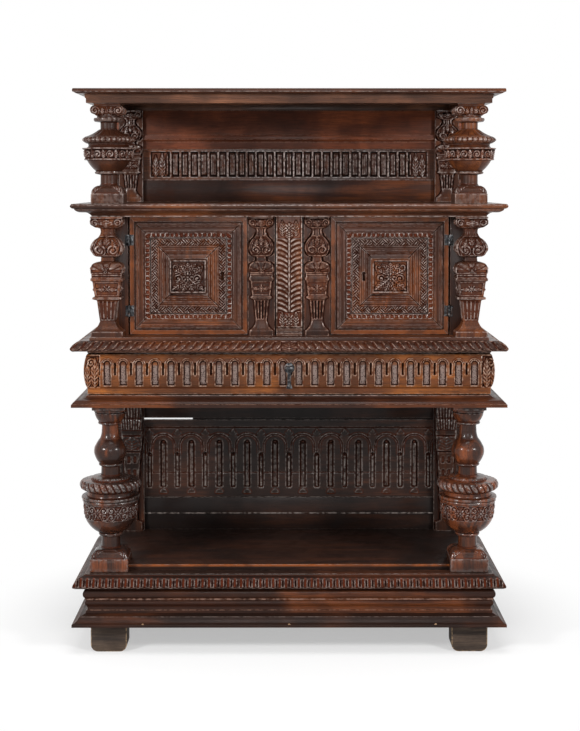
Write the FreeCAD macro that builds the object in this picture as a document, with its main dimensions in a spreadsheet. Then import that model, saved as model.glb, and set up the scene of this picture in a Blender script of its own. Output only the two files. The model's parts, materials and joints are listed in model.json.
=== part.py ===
import FreeCAD, Part
import math
import os

import Sketcher
from FreeCAD import Vector

# A court cupboard of joined and carved timber: a plinth on four feet, an open stage on turned columns,
# a frieze drawer, a cupboard with two mitred doors, and an open upper stage under a cornice.
# Millimetres, +X to the right seen from the front, +Y to the back, +Z up. The origin is on the floor,
# in the middle of the plan. "Out" is measured outwards from the outer faces of the posts.

SIZES = {
    # The posts' outer faces and the back, in plan
    "body_width": 1100,
    "body_front": 200,
    "body_back": 250,
    # Feet
    "foot_width": 97,
    "foot_depth": 70,
    "foot_height": 83,
    "foot_inset": 2,
    # Base moulding, plinth and nulled moulding
    "frame_inside": 60,
    "base_reach": 50,
    "base_height": 30,
    "peg_radius": 4,
    "peg_sunk": 0.8,
    "peg_length": 30,
    "peg_spacing": 404,
    "plinth_reach": 24,
    "plinth_height": 75,
    "plinth_inside": 25,
    "back_rail_thickness": 22,
    "nulling_reach": 48,
    "nulling_height": 36,
    "null_pitch": 17.7,
    "null_width": 10,
    "null_depth": 6,
    # Floor board
    "floor_thickness": 16,
    "floor_setback": 20,
    # Lower stage
    "lower_height": 468,
    "lower_block": 96,
    "lower_block_height": 39,
    "lower_radius": 85,
    "lower_cap": 94,
    "lower_cap_height": 24,
    "pilaster_width": 72,
    "pilaster_board": 13,
    "pilaster_relief": 12,
    "pilaster_inset": 33,
    "console_relief": 34,
    # Back of the lower stage
    "back_width": 1090,
    "back_thickness": 25,
    "back_panel_thickness": 19,
    "lower_back_foot": 98,
    "arcade_height": 240,
    "slip_height": 7,
    "slip_thickness": 12,
    "slip_gap_start": 94,
    "slip_gap_length": 154,
    "arch_pitch": 84.6,
    "arch_radius": 36,
    "arch_band": 6,
    "arch_spring": 132,
    "long_flute_width": 22,
    "long_flute_height": 145,
    "short_flute_width": 18,
    "short_flute_height": 110,
    "arcade_flute_foot": 31,
    "carving_depth": 4,
    # Waist board
    "waist_height": 29,
    "waist_reach": 48,
    # Drawer stage
    "frieze_height": 118,
    "frieze_flat": 8,
    "frieze_reach": 18,
    "frieze_side_thickness": 30,
    "frieze_back_thickness": 18,
    "drawer_gap_below": 3,
    "drawer_gap_above": 4,
    "drawer_front_inside": 18,
    "drawer_stop_gap": 0.3,
    "drawer_side_gap": 4,
    "drawer_side_thickness": 16,
    "drawer_side_height": 100,
    "drawer_box_rise": 6,
    "drawer_length": 386,
    "drawer_back_thickness": 14,
    "drawer_bottom_thickness": 9,
    "drawer_bottom_rise": 3,
    "runner_reach": 14,
    "runner_height": 13,
    "runner_rise": 50,
    "runner_seat_gap": 0.3,
    "runner_gap": 1,
    "flute_pitch": 44.5,
    "flute_width": 19,
    "flute_height": 67,
    "flute_foot": 31,
    "flute_floor": 11,
    # Drop pull
    "rose_radius": 14,
    "rose_floor": 14,
    "rose_thickness": 5,
    "shank_radius": 2.5,
    "pull_height": 73,
    "pull_out": 25,
    "pull_barrel_radius": 6,
    "pull_barrel_width": 20,
    "pull_pin_radius": 1.6,
    "pull_pin_gap": 0.2,
    "pull_side_gap": 0.5,
    "pull_ear": 2.5,
    "pull_bar_width": 10,
    "pull_thickness": 5,
    "pull_length": 54,
    "pull_foot_width": 18,
    "pull_foot_height": 9,
    # Deck
    "deck_reach": 50,
    "deck_frame_height": 34,
    "deck_board_out": 3,
    "deck_board_thickness": 20,
    "deck_rise": 7,
    # Cupboard stage
    "cupboard_height": 334,
    "cupboard_setback": 33,
    "case_front": 140,
    "stile_thickness": 22,
    "side_thickness": 22,
    "side_panel_thickness": 10,
    "side_stile_width": 62,
    "case_back_thickness": 18,
    "term_half_width": 45,
    "term_depth": 60,
    "centre_stile_width": 230,
    "inner_pilaster_width": 74,
    "inner_pilaster_inset": 41,
    "inner_pilaster_board": 12,
    "inner_pilaster_relief": 12,
    "centre_panel_width": 72,
    "centre_panel_thickness": 12,
    "centre_panel_border": 7,
    "centre_panel_sunk": 4,
    # Doors
    "door_gap": 2.5,
    "door_thickness": 22,
    "door_edge": 12.5,
    "door_moulding_width": 25,
    "door_moulding_rise": 12,
    "door_opening_half": 106,
    "door_band_rise": 3,
    "panel_rebate": 6,
    "panel_flange": 10,
    "panel_gap": 1.5,
    "field_rise": 2,
    "field_slope": 19,
    "field_top": 9,
    "step_inset": 4,
    "step_slope": 21,
    "step_rise": 7,
    "block_width": 109,
    "block_height": 100,
    "block_rise": 9,
    "block_edge": 7,
    "block_top_rise": 7,
    # Hinges
    "hinge_gap": 5,
    "hinge_out": 4.5,
    "knuckle_radius": 4,
    "hinge_pin_radius": 1.8,
    "hinge_pin_gap": 0.2,
    "hinge_height": 30,
    "knuckle_gap": 0.4,
    "leaf_thickness": 2,
    "strap_width": 14,
    "plate_width": 10,
    "upper_hinge_rise": 265,
    "lower_hinge_rise": 66,
    # Locks
    "lock_width": 72,
    "lock_height": 90,
    "lock_thickness": 12,
    "lock_wall": 3,
    "lock_edge_gap": 4,
    "bolt_height": 14,
    "bolt_thickness": 5,
    "bolt_length": 44,
    "bolt_gap": 0.3,
    # Shelf board between the cupboard and the upper stage
    "shelf_thickness": 36,
    "shelf_reach": 42,
    # Upper stage
    "upper_height": 277,
    "upper_setback": 3,
    "upper_block": 90,
    "upper_block_height": 28,
    "upper_radius": 73,
    "upper_cap": 90,
    "upper_cap_height": 32,
    "upper_foot_board": 66,
    "upper_flute_band": 94,
    "upper_flute_pitch": 28.9,
    "upper_flute_width": 14,
    "upper_flute_height": 74,
    "upper_flute_foot": 10,
    "upper_moulding_foot": 116,
    "upper_moulding_height": 21,
    "upper_moulding_rise": 8,
    # Cornice
    "cornice_height": 24,
    "cornice_reach": 15,
    "top_thickness": 14,
    "top_reach": 40,
    # How far every cutting shape runs past what it cuts
    "overrun": 3,
}

DRAWER_FLUTES = 24
UPPER_FLUTES = 25
ARCHES = 10

# Moulded edges, from the bottom up: a share of the reach, a share of the height, and the bend of the
# stretch that follows, as the tangent of a quarter of its angle, where a positive bend is a convex one.
BASE_EDGE_SHARES = [(1, 0, 0), (1, 0.4, 0), (0.92, 0.4, 0.3), (0.62, 0.75, -0.3), (0.34, 1, 0)]
PLINTH_EDGE_SHARES = [
    (0.66, 0, 0),
    (0.66, 0.18, 0.2),
    (0.96, 0.48, 0),
    (0.8, 0.5, 0.6),
    (0.46, 0.81, 0),
    (0.2, 0.83, 0),
    (0.2, 1, 0),
]
NULLING_EDGE_SHARES = [(0.85, 0, 0), (1, 0.12, 0), (1, 0.3, 0), (0.7, 0.76, 0), (0.35, 1, 0)]
WAIST_EDGE_SHARES = [(1, 0, 0), (1, 0.3, 0), (0.94, 0.34, 0.3), (0.6, 0.68, -0.3), (0.17, 1, 0)]
DECK_EDGE_SHARES = [(0.16, 0, 0), (0.16, 0.18, 0), (0.8, 0.2, 0.3), (1, 0.4, 0.25), (0.36, 1, 0)]
SHELF_EDGE_SHARES = [
    (-0.1, 0, 0),
    (-0.1, 0.1, -0.25),
    (0.3, 0.38, 0.25),
    (0.86, 0.62, 0),
    (0.9, 0.66, 0.3),
    (1, 0.86, 0.05),
    (0.92, 1, 0),
]
CORNICE_EDGE_SHARES = [(0.5, 0, 0), (0.5, 0.5, 0), (0.66, 0.56, 0), (0.66, 0.8, -0.3), (1, 1, 0)]
TOP_EDGE_SHARES = [(0.7, 0, 0.2), (0.9, 0.3, 0), (1, 0.34, 0), (1, 0.86, 0), (0.95, 1, 0)]

# Turned outlines above the square foot block, from the bottom up: a share of the height, a share of
# the greatest radius, and the bend of the stretch that follows.
LOWER_TURNING_SHARES = [
    (0.083, 0.54, 0),
    (0.124, 0.32, 0),
    (0.188, 0.32, 0),
    (0.197, 0.42, 0),
    (0.207, 0.42, 0.22),
    (0.291, 0.88, 0),
    (0.408, 0.935, 0),
    (0.418, 0.97, 0),
    (0.434, 0.97, 0),
    (0.434, 0.73, 0),
    (0.457, 0.73, 0),
    (0.468, 1, 0),
    (0.51, 1, 0),
    (0.525, 0.61, 0),
    (0.549, 0.5, 0),
    (0.553, 0.313, 0),
    (0.6, 0.313, 0),
    (0.608, 0.36, 0),
    (0.618, 0.341, 0.28),
    (0.684, 0.53, 0.22),
    (0.77, 0.33, 0),
    (0.853, 0.306, 0),
    (0.86, 0.38, 0),
    (0.868, 0.38, 0),
    (0.92, 0.52, 0),
    (0.949, 0.54, 0),
]
UPPER_TURNING_SHARES = [
    (0.101, 0.587, 0),
    (0.181, 0.31, 0),
    (0.296, 0.3, 0),
    (0.3, 0.5, 0),
    (0.318, 0.43, 0.2),
    (0.437, 0.8, 0),
    (0.444, 0.88, 0),
    (0.538, 0.933, 0),
    (0.545, 0.973, 0),
    (0.562, 0.973, 0),
    (0.562, 0.727, 0),
    (0.612, 0.727, 0),
    (0.625, 1, 0),
    (0.658, 1, 0),
    (0.668, 0.8, 0),
    (0.7, 0.68, 0),
    (0.744, 0.29, 0),
    (0.825, 0.29, 0),
    (0.832, 0.52, 0),
    (0.866, 0.52, 0),
    (0.868, 0.4, 0),
    (0.885, 0.4, 0),
]

# The outline of a carved term: a share of the height, a share of the half width, and the bend.
TERM_SHARES = [
    (0, 0.97, 0),
    (0.045, 0.97, 0),
    (0.051, 0.93, -0.15),
    (0.129, 0.44, 0),
    (0.305, 0.62, 0),
    (0.314, 0.86, 0),
    (0.332, 0.86, 0),
    (0.335, 0.74, 0),
    (0.458, 0.87, 0),
    (0.46, 0.97, 0),
    (0.536, 0.97, 0),
    (0.542, 1, 0.35),
    (0.626, 0.44, 0),
    (0.664, 0.44, 0),
    (0.668, 0.6, 0.3),
    (0.742, 1, 0.25),
    (0.845, 0.56, -0.15),
    (0.88, 0.38, -0.2),
    (0.922, 0.62, 0),
    (0.928, 0.9, 0.4),
    (0.985, 0.93, 0),
    (0.987, 1, 0),
    (1, 1, 0),
]
# The same for the lower stage's pilasters, under a console.
TAPER_SHARES = [
    (0, 0.95, 0),
    (0.06, 0.95, 0),
    (0.07, 0.5, 0),
    (0.12, 0.5, 0),
    (0.54, 0.8, 0),
    (0.545, 0.9, 0),
    (0.56, 0.9, 0.05),
    (0.65, 0.97, 0),
    (0.68, 1, 0),
    (0.69, 0.9, 0),
    (1, 0.97, 0),
]
# How far a term stands proud, from its least depth to the whole of it.
TERM_LEAST_DEPTH_SHARE = 0.4
# The console's side outline: a share of its height, a share of its relief, and the bend.
CONSOLE_SHARES = [(0, 0.35, 0.5), (0.25, 0.5, -0.15), (0.55, 0.6, 0.35), (0.95, 1, 0), (1, 1, 0)]
CONSOLE_FOOT_SHARE = 0.69

# A foot seen from the front: shares of its half width and of its height, and the bend.
FOOT_SHARES = [(0.8, 0, 0.4), (0.97, 0.2, 0.08), (1, 0.92, 0), (0.94, 1, 0)]

PEG_HEIGHT_SHARE = 0.2
# How wide a term is on the board of its pilaster
PILASTER_TERM_SHARE = 0.94
# The frieze's flat band, as a share of its height, and the swell above it
FRIEZE_BAND_SHARE = 0.16
FRIEZE_BEND = 0.2
# The staple's ears against the pull's barrel, and the round foot of the pull
EAR_HEIGHT_SHARE = 0.6
PULL_FOOT_BEND = 0.25
# The round moulding of a door frame, and how much of its rise is left at the outer edge
DOOR_BEND = 0.2
DOOR_CREST_SHARE = 0.8


class Size:
    """A length, with the expression that gives it from the cells of the sheet."""

    def __init__(self, text, value):
        self.text = text
        self.value = value

    def joined(self, sign, other, value):
        other_text = other.text if isinstance(other, Size) else repr(other)
        return Size(f"({self.text} {sign} {other_text})", value)

    def __add__(self, other):
        return self.joined("+", other, self.value + number(other))

    def __sub__(self, other):
        return self.joined("-", other, self.value - number(other))

    def __mul__(self, other):
        return self.joined("*", other, self.value * number(other))

    def __truediv__(self, other):
        return self.joined("/", other, self.value / number(other))

    def __neg__(self):
        return Size(f"(-1 * {self.text})", -self.value)


def number(size):
    """The value of a size, or of a plain zero or share."""
    return size.value if isinstance(size, Size) else float(size)


def distance(across, up):
    """The straight distance that two perpendicular sizes span."""
    text = f"sqrt({text_of(across)} ^ 2 + {text_of(up)} ^ 2)"
    return Size(text, math.hypot(number(across), number(up)))


def text_of(size):
    return size.text if isinstance(size, Size) else repr(size)


def less(first, second):
    """The first size less the second, where either may be a plain zero."""
    if isinstance(first, Size):
        return first - second
    return -second if isinstance(second, Size) else first - second


doc = FreeCAD.newDocument("court_cupboard")
sheet = doc.addObject("Spreadsheet::Sheet", "sizes")
for row, (alias, value) in enumerate(SIZES.items(), start=1):
    sheet.set(f"A{row}", alias.replace("_", " "))
    sheet.set(f"B{row}", str(value))
    sheet.setAlias(f"B{row}", alias)
doc.recompute()


class Cells:
    """Each cell of the sheet, under its alias, as a size."""

    def __getattr__(self, alias):
        return Size(f"sizes.{alias}", float(sheet.get(alias)))


size = Cells()
subparts = []

# Heights of the stages above the floor
base_level = size.foot_height
plinth_level = base_level + size.base_height
nulling_level = plinth_level + size.plinth_height
floor_level = nulling_level + size.nulling_height
floor_top = floor_level + size.floor_thickness
waist_level = floor_level + size.lower_height
frieze_level = waist_level + size.waist_height
deck_level = frieze_level + size.frieze_height
deck_top = deck_level + size.deck_frame_height + size.deck_rise
shelf_level = deck_top + size.cupboard_height
shelf_top = shelf_level + size.shelf_thickness
cornice_level = shelf_top + size.upper_height
top_level = cornice_level + size.cornice_height

body_depth = size.body_front + size.body_back
door_size = size.cupboard_height - size.door_gap * 2
door_centre = size.centre_stile_width / 2 + size.door_gap + door_size / 2
door_level = deck_top + size.door_gap
hinge_axis = door_centre + door_size / 2 + size.hinge_gap / 2
post_edge = door_centre + door_size / 2 + size.hinge_gap


def side_line(out):
    """X of a line that lies a given distance outside the posts, at the right."""
    return size.body_width / 2 + out


def front_line(out):
    """Y of a line that lies a given distance outside the posts, at the front."""
    return -(size.body_front + out)


# The outer face of the cupboard's framed sides, at the right
case_edge = side_line(-size.cupboard_setback)


def new_body(label):
    body = doc.addObject("PartDesign::Body", label)
    body.Label = label
    return body


def keep(piece, label=None):
    """Counts a finished piece as a sub-part, under its own label."""
    if label:
        piece.Label = label
    subparts.append(piece)
    return piece


def group(label, pieces):
    """Separate solids that share one node."""
    compound = doc.addObject("Part::Compound", label)
    compound.Links = pieces
    return keep(compound, label)


def put(piece, across=0, back=0, up=0):
    """Binds a piece's place to the sheet."""
    for axis, place in zip("xyz", (across, back, up)):
        if isinstance(place, Size):
            piece.setExpression(f".Placement.Base.{axis}", place.text)


def new_sketch(body, role, offset=0):
    sketch = body.newObject("Sketcher::SketchObject", body.Label + "_sketch")
    plane = next(item for item in body.Origin.OriginFeatures if item.Role == role)
    sketch.AttachmentSupport = [(plane, "")]
    sketch.MapMode = "FlatFace"
    if isinstance(offset, Size):
        sketch.setExpression(".AttachmentOffset.Base.z", offset.text)
    return sketch


def fix(sketch, kind, *targets, size=None):
    """Adds a constraint, bound to a size where it has one."""
    if size is None:
        sketch.addConstraint(Sketcher.Constraint(kind, *targets))
        return
    place = sketch.addConstraint(Sketcher.Constraint(kind, *targets, number(size)))
    if isinstance(size, Size):
        sketch.setExpression(f"Constraints[{place}]", size.text)


def hold(sketch, kind, line, point, place):
    """Holds a point of a line at its distance from the origin, or on the axis where that is zero."""
    if number(place):
        fix(sketch, kind, -1, 1, line, point, size=place)
    else:
        fix(sketch, "PointOnObject", line, point, -2 if kind == "DistanceX" else -1)


def draw(sketch, corners, flipped=False):
    """Draws one closed outline. Each corner is across, up and, where the stretch to the next corner is
    an arc, its bend, which is 1 for a half circle. A flipped outline runs the other way round, so its
    bends change sign."""
    stretches = []
    for here, there in zip(corners, corners[1:] + corners[:1]):
        start = Vector(number(here[0]), number(here[1]), 0)
        end = Vector(number(there[0]), number(there[1]), 0)
        bend = here[2] if len(here) > 2 else 0
        bend = -bend if flipped else bend
        if not bend:
            line = sketch.addGeometry(Part.LineSegment(start, end), False)
            stretches.append((line, 1, 2))
            continue
        factor = (1 + bend**2) / (4 * abs(bend))
        chord = distance(less(there[0], here[0]), less(there[1], here[1]))
        radius = chord * factor
        first, last = (start, end) if bend > 0 else (end, start)
        along = (last - first).normalize()
        inwards = Vector(-along.y, along.x, 0)
        rise = radius.value - abs(bend) * chord.value / 2
        centre = (first + last) * 0.5 + inwards * rise
        begin = math.atan2(first.y - centre.y, first.x - centre.x)
        finish = math.atan2(last.y - centre.y, last.x - centre.x)
        if finish < begin:
            finish += math.tau
        round_line = Part.Circle(centre, Vector(0, 0, 1), radius.value)
        arc = sketch.addGeometry(Part.ArcOfCircle(round_line, begin, finish), False)
        if abs(bend) < 1:
            fix(sketch, "Radius", arc, size=radius)
        elif abs(along.x) > abs(along.y):
            hold(sketch, "DistanceY", arc, 3, here[1])
        else:
            hold(sketch, "DistanceX", arc, 3, here[0])
        stretches.append((arc, 1, 2) if bend > 0 else (arc, 2, 1))
    for stretch, previous, corner in zip(stretches, stretches[-1:] + stretches[:-1], corners):
        line, start_point, _ = stretch
        fix(sketch, "Coincident", previous[0], previous[2], line, start_point)
        hold(sketch, "DistanceX", line, start_point, corner[0])
        hold(sketch, "DistanceY", line, start_point, corner[1])


def rectangle(left, bottom, right, top):
    return [(left, bottom), (right, bottom), (right, top), (left, top)]


def arch(middle, foot, width, height):
    """An upright flute with a round head and a square foot."""
    half = width / 2
    return [
        (middle - half, foot),
        (middle + half, foot),
        (middle + half, foot + height - half, 1),
        (middle - half, foot + height - half),
    ]


def circle(sketch, across, up, radius):
    place = Vector(number(across), number(up), 0)
    ring = sketch.addGeometry(Part.Circle(place, Vector(0, 0, 1), radius.value), False)
    fix(sketch, "Radius", ring, size=radius)
    hold(sketch, "DistanceX", ring, 3, across)
    hold(sketch, "DistanceY", ring, 3, up)


def pad(body, sketch, length, symmetric=False):
    feature = body.newObject("PartDesign::Pad", body.Label + "_pad")
    feature.Profile = sketch
    feature.setExpression("Length", length.text)
    if symmetric:
        feature.SideType = "Symmetric"
    return feature


def pocket(body, sketch, depth=None, symmetric=False, backwards=False):
    """Cuts a sketch into the body: to a depth, or where none is given right through both ways."""
    feature = body.newObject("PartDesign::Pocket", body.Label + "_pocket")
    feature.Profile = sketch
    if depth is None:
        feature.SideType = "Symmetric"
        feature.Type = "ThroughAll"
    else:
        feature.setExpression("Length", depth.text)
        if symmetric:
            feature.SideType = "Symmetric"
    feature.Reversed = backwards
    return feature


def repeat(body, feature, sketch, axis, pitch, count):
    """Repeats a feature along an axis of its sketch."""
    pattern = body.newObject("PartDesign::LinearPattern", body.Label + "_pattern")
    pattern.Originals = [feature]
    pattern.Direction = (sketch, [axis])
    pattern.Mode = "Spacing"
    pattern.setExpression("Offset", pitch.text)
    pattern.Occurrences = count
    body.Tip = pattern
    return pattern


def board(label, left, front, bottom, right, back, top):
    """A plain board between two opposite corners."""
    body = new_body(label)
    sketch = new_sketch(body, "XY_Plane")
    draw(sketch, rectangle(left, front, right, back))
    pad(body, sketch, less(top, bottom))
    put(body, up=bottom)
    return body


def section(reach, height, shares, inside):
    """The section of a moulded length: its inner face, then its moulded face from the bottom up."""
    face = [(reach * out, height * up, bend) for out, up, bend in shares]
    return [(-inside, height * 0)] + face + [(-inside, height)]


def front_length(label, corners, reach, inside, level):
    """A moulded length along the front, mitred at both ends."""
    body = new_body(label)
    sketch = new_sketch(body, "YZ_Plane")
    draw(sketch, [(front_line(out), up, *bend) for out, up, *bend in corners], flipped=True)
    pad(body, sketch, side_line(reach) * 2, symmetric=True)
    mitres = new_sketch(body, "XY_Plane")
    far = reach + size.overrun
    for sign in (1, -1):
        draw(
            mitres,
            [
                (side_line(-inside) * sign, front_line(-inside)),
                (side_line(far) * sign, front_line(far)),
                (side_line(far) * sign, front_line(-inside)),
            ],
        )
    pocket(body, mitres)
    put(body, up=level)
    return body


def side_length(label, corners, reach, inside, level, sign):
    """A moulded length along one side, mitred at the front and square at the back."""
    body = new_body(label)
    sketch = new_sketch(body, "XZ_Plane")
    draw(sketch, [(side_line(out) * sign, up, *bend) for out, up, *bend in corners], flipped=sign < 0)
    pad(body, sketch, body_depth + reach)
    mitre = new_sketch(body, "XY_Plane")
    far = reach + size.overrun
    draw(
        mitre,
        [
            (side_line(-inside) * sign, front_line(-inside) - size.body_back),
            (side_line(far) * sign, front_line(far) - size.body_back),
            (side_line(-inside) * sign, front_line(far) - size.body_back),
        ],
    )
    pocket(body, mitre)
    put(body, back=size.body_back, up=level)
    return body


def moulded_lengths(label, reach, height, shares, inside, level):
    """The front length and the two side lengths of a moulding that goes round three sides."""
    corners = section(reach, height, shares, inside)
    return [
        front_length(label + "_front", corners, reach, inside, level),
        side_length(label + "_right", corners, reach, inside, level, 1),
        side_length(label + "_left", corners, reach, inside, level, -1),
    ]


def moulded_board(label, reach, thickness, shares, level):
    """A board with its front and side edges moulded."""
    body = new_body(label)
    sketch = new_sketch(body, "YZ_Plane")
    corners = section(reach, thickness, shares, body_depth)
    draw(sketch, [(front_line(out), up, *bend) for out, up, *bend in corners], flipped=True)
    pad(body, sketch, side_line(reach) * 2, symmetric=True)
    waste = new_sketch(body, "XZ_Plane")
    far = reach + size.overrun
    for sign in (1, -1):
        outside = corners[1:-1] + [(far, thickness), (far, thickness * 0)]
        draw(waste, [(side_line(out) * sign, up, *bend) for out, up, *bend in outside], flipped=sign < 0)
    pocket(body, waste)
    put(body, up=level)
    return keep(body)


def foot(label, across, back):
    """A block foot with bulging sides."""
    body = new_body(label)
    sketch = new_sketch(body, "XZ_Plane")
    half = size.foot_width / 2
    rising = [(half * out, size.foot_height * up, bend) for out, up, bend in FOOT_SHARES]
    falling = []
    for place in range(len(FOOT_SHARES) - 1, -1, -1):
        out, up, _ = FOOT_SHARES[place]
        bend = FOOT_SHARES[place - 1][2] if place else 0
        falling.append((-half * out, size.foot_height * up, bend))
    draw(sketch, rising + falling)
    pad(body, sketch, size.foot_depth, symmetric=True)
    put(body, across, back)
    return keep(body)


def feet():
    across = size.body_width / 2 - size.foot_width / 2 + size.foot_inset
    front = front_line(0) + size.foot_depth / 2 - size.foot_inset
    back = size.body_back - size.foot_depth / 2 - size.base_height
    for name, sign in (("left", -1), ("right", 1)):
        foot(f"foot_front_{name}", across * sign, front)
        foot(f"foot_rear_{name}", across * sign, back)


def base_moulding():
    lengths = moulded_lengths(
        "base_moulding", size.base_reach, size.base_height, BASE_EDGE_SHARES, size.frame_inside, base_level
    )
    front = lengths[0]
    holes = new_sketch(front, "XZ_Plane", size.body_front + size.base_reach + size.overrun)
    for sign in (-1, 0, 1):
        circle(holes, size.peg_spacing * sign, size.base_height * PEG_HEIGHT_SHARE, size.peg_radius)
    pocket(front, holes, size.peg_length + size.overrun)
    group("base_moulding", lengths)



def base_pegs():
    """Round oak pegs through the base moulding."""
    pegs = []
    for sign in (-1, 0, 1):
        body = new_body("base_peg")
        sketch = new_sketch(body, "XZ_Plane")
        circle(sketch, 0, 0, size.peg_radius)
        pad(body, sketch, size.peg_length - size.peg_sunk)
        start = front_line(size.base_reach) + size.peg_length
        put(body, size.peg_spacing * sign, start, base_level + size.base_height * PEG_HEIGHT_SHARE)
        pegs.append(body)
    group("base_pegs", pegs)


def plinth_rails():
    lengths = moulded_lengths(
        "plinth_rail",
        size.plinth_reach,
        size.plinth_height,
        PLINTH_EDGE_SHARES,
        size.plinth_inside,
        plinth_level,
    )
    inner = side_line(-size.plinth_inside)
    back_rail = board(
        "plinth_back_rail",
        -inner,
        size.body_back - size.back_rail_thickness,
        plinth_level,
        inner,
        size.body_back,
        nulling_level,
    )
    group("plinth_rails", lengths + [back_rail])


def null_cutter(place):
    """The side view of one flute: the band of the moulded face that it takes away."""
    face = NULLING_EDGE_SHARES[1:-1]
    outer = [(size.nulling_reach * out, size.nulling_height * up) for out, up, _ in face]
    top_out, top_up = outer[-1]
    corners = [
        (outer[0][0] + size.overrun, outer[1][1] - size.null_width / 2),
        (outer[0][0] + size.overrun, top_up),
        (top_out + size.overrun, top_up + size.overrun / 2),
        (top_out - size.null_depth / 2, top_up),
        (outer[1][0] - size.null_depth, outer[1][1]),
    ]
    return [place(out, up) for out, up in corners]


def nulled_moulding():
    lengths = moulded_lengths(
        "nulled_moulding",
        size.nulling_reach,
        size.nulling_height,
        NULLING_EDGE_SHARES,
        size.frame_inside,
        nulling_level,
    )
    front, right, left = lengths
    top_reach = size.nulling_reach * NULLING_EDGE_SHARES[-1][0]
    run = side_line(top_reach) * 2
    count = int(run.value / size.null_pitch.value) // 2 * 2 - 1
    sketch = new_sketch(front, "YZ_Plane", size.null_pitch * (count // 2) * -1)
    draw(sketch, null_cutter(lambda out, up: (front_line(out), up)))
    cut = pocket(front, sketch, size.null_width, symmetric=True)
    repeat(front, cut, sketch, "N_Axis", size.null_pitch, count)
    side_run = body_depth + top_reach
    side_count = int(side_run.value / size.null_pitch.value) - 1
    for body, sign in ((right, 1), (left, -1)):
        sketch = new_sketch(body, "XZ_Plane", size.null_pitch)
        draw(sketch, null_cutter(lambda out, up: (side_line(out) * sign, up)))
        cut = pocket(body, sketch, size.null_width, symmetric=True)
        repeat(body, cut, sketch, "N_Axis", size.null_pitch, side_count)
    group("nulled_moulding", lengths)


def floor_board():
    """The floor of the open lower stage, notched round the two columns."""
    body = new_body("floor_board")
    sketch = new_sketch(body, "XY_Plane")
    edge = side_line(-size.floor_setback)
    front = front_line(-size.floor_setback)
    notch_side = side_line(-size.lower_block)
    notch_back = front_line(-size.lower_block)
    draw(
        sketch,
        [
            (-notch_side, front),
            (notch_side, front),
            (notch_side, notch_back),
            (edge, notch_back),
            (edge, size.body_back),
            (-edge, size.body_back),
            (-edge, notch_back),
            (-notch_side, notch_back),
        ],
    )
    pad(body, sketch, size.floor_thickness)
    put(body, up=floor_level)
    keep(body)


def turned_post(label, across, level, height, radius, shares, block, block_height, cap, cap_height):
    """A post turned between a square foot block and a square cap, all from one piece."""
    body = new_body(label)
    foot_sketch = new_sketch(body, "XY_Plane")
    half = block / 2
    draw(foot_sketch, rectangle(-half, -half, half, half))
    pad(body, foot_sketch, block_height)
    outline = new_sketch(body, "XZ_Plane")
    axis_foot = [(0, height * shares[0][0])]
    axis_head = [(0, height * shares[-1][0])]
    turned = [(radius * out, height * up, bend) for up, out, bend in shares]
    draw(outline, axis_foot + turned + axis_head)
    turning = body.newObject("PartDesign::Revolution", label + "_turning")
    turning.Profile = outline
    turning.ReferenceAxis = (outline, ["V_Axis"])
    turning.Angle = 360
    cap_sketch = new_sketch(body, "XY_Plane", height - cap_height)
    half = cap / 2
    draw(cap_sketch, rectangle(-half, -half, half, half))
    pad(body, cap_sketch, cap_height)
    put(body, across, front_line(-block / 2), level)
    return keep(body)


def columns():
    lower_line = side_line(-size.lower_block / 2)
    upper_line = side_line(-size.upper_block / 2 - size.upper_setback)
    for name, sign in (("left", -1), ("right", 1)):
        turned_post(
            f"lower_column_{name}",
            lower_line * sign,
            floor_level,
            size.lower_height,
            size.lower_radius,
            LOWER_TURNING_SHARES,
            size.lower_block,
            size.lower_block_height,
            size.lower_cap,
            size.lower_cap_height,
        )
        turned_post(
            f"upper_baluster_{name}",
            upper_line * sign,
            shelf_top,
            size.upper_height,
            size.upper_radius,
            UPPER_TURNING_SHARES,
            size.upper_block,
            size.upper_block_height,
            size.upper_cap,
            size.upper_cap_height,
        )


def term_outline(shares, half_width, height):
    """The whole front view of a term, the same to the left and to the right."""
    right = [(half_width * out, height * up, bend) for up, out, bend in shares]
    left = []
    for place in range(len(shares) - 1, -1, -1):
        up, out, _ = shares[place]
        bend = shares[place - 1][2] if place else 0
        left.append((-half_width * out, height * up, bend))
    return right + left


def proud(share):
    """How much of the depth a stretch of a term keeps, from its share of the half width."""
    return TERM_LEAST_DEPTH_SHARE + (1 - TERM_LEAST_DEPTH_SHARE) * share


def carved_term(body, shares, half_width, height, depth, board_thickness=0):
    """Raises a term on the front of a body's XZ plane, or of the board that lies on it."""
    sketch = new_sketch(body, "XZ_Plane", board_thickness)
    draw(sketch, term_outline(shares, half_width, height))
    pad(body, sketch, depth)
    waste = new_sketch(body, "YZ_Plane")
    ground = -board_thickness if isinstance(board_thickness, Size) else 0
    front = [(less(ground, depth * proud(out)), height * up, bend) for up, out, bend in shares]
    far = less(ground, depth + size.overrun)
    draw(waste, front + [(far, height), (far, 0)], flipped=True)
    pocket(body, waste)


def corner_terms():
    for name, sign in (("left", -1), ("right", 1)):
        body = new_body(f"corner_term_{name}")
        carved_term(body, TERM_SHARES, size.term_half_width, size.cupboard_height, size.term_depth)
        put(body, side_line(-size.term_half_width) * sign, -size.case_front, deck_top)
        keep(body)


def pilaster(label, across, front, level, width, height, board_thickness, relief, shares):
    """A board with a term carved on its face."""
    body = new_body(label)
    sketch = new_sketch(body, "XZ_Plane")
    half = width / 2
    draw(sketch, rectangle(-half, 0, half, height))
    pad(body, sketch, board_thickness)
    carved_term(body, shares, half * PILASTER_TERM_SHARE, height, relief, board_thickness)
    put(body, across, front, level)
    return body



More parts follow.
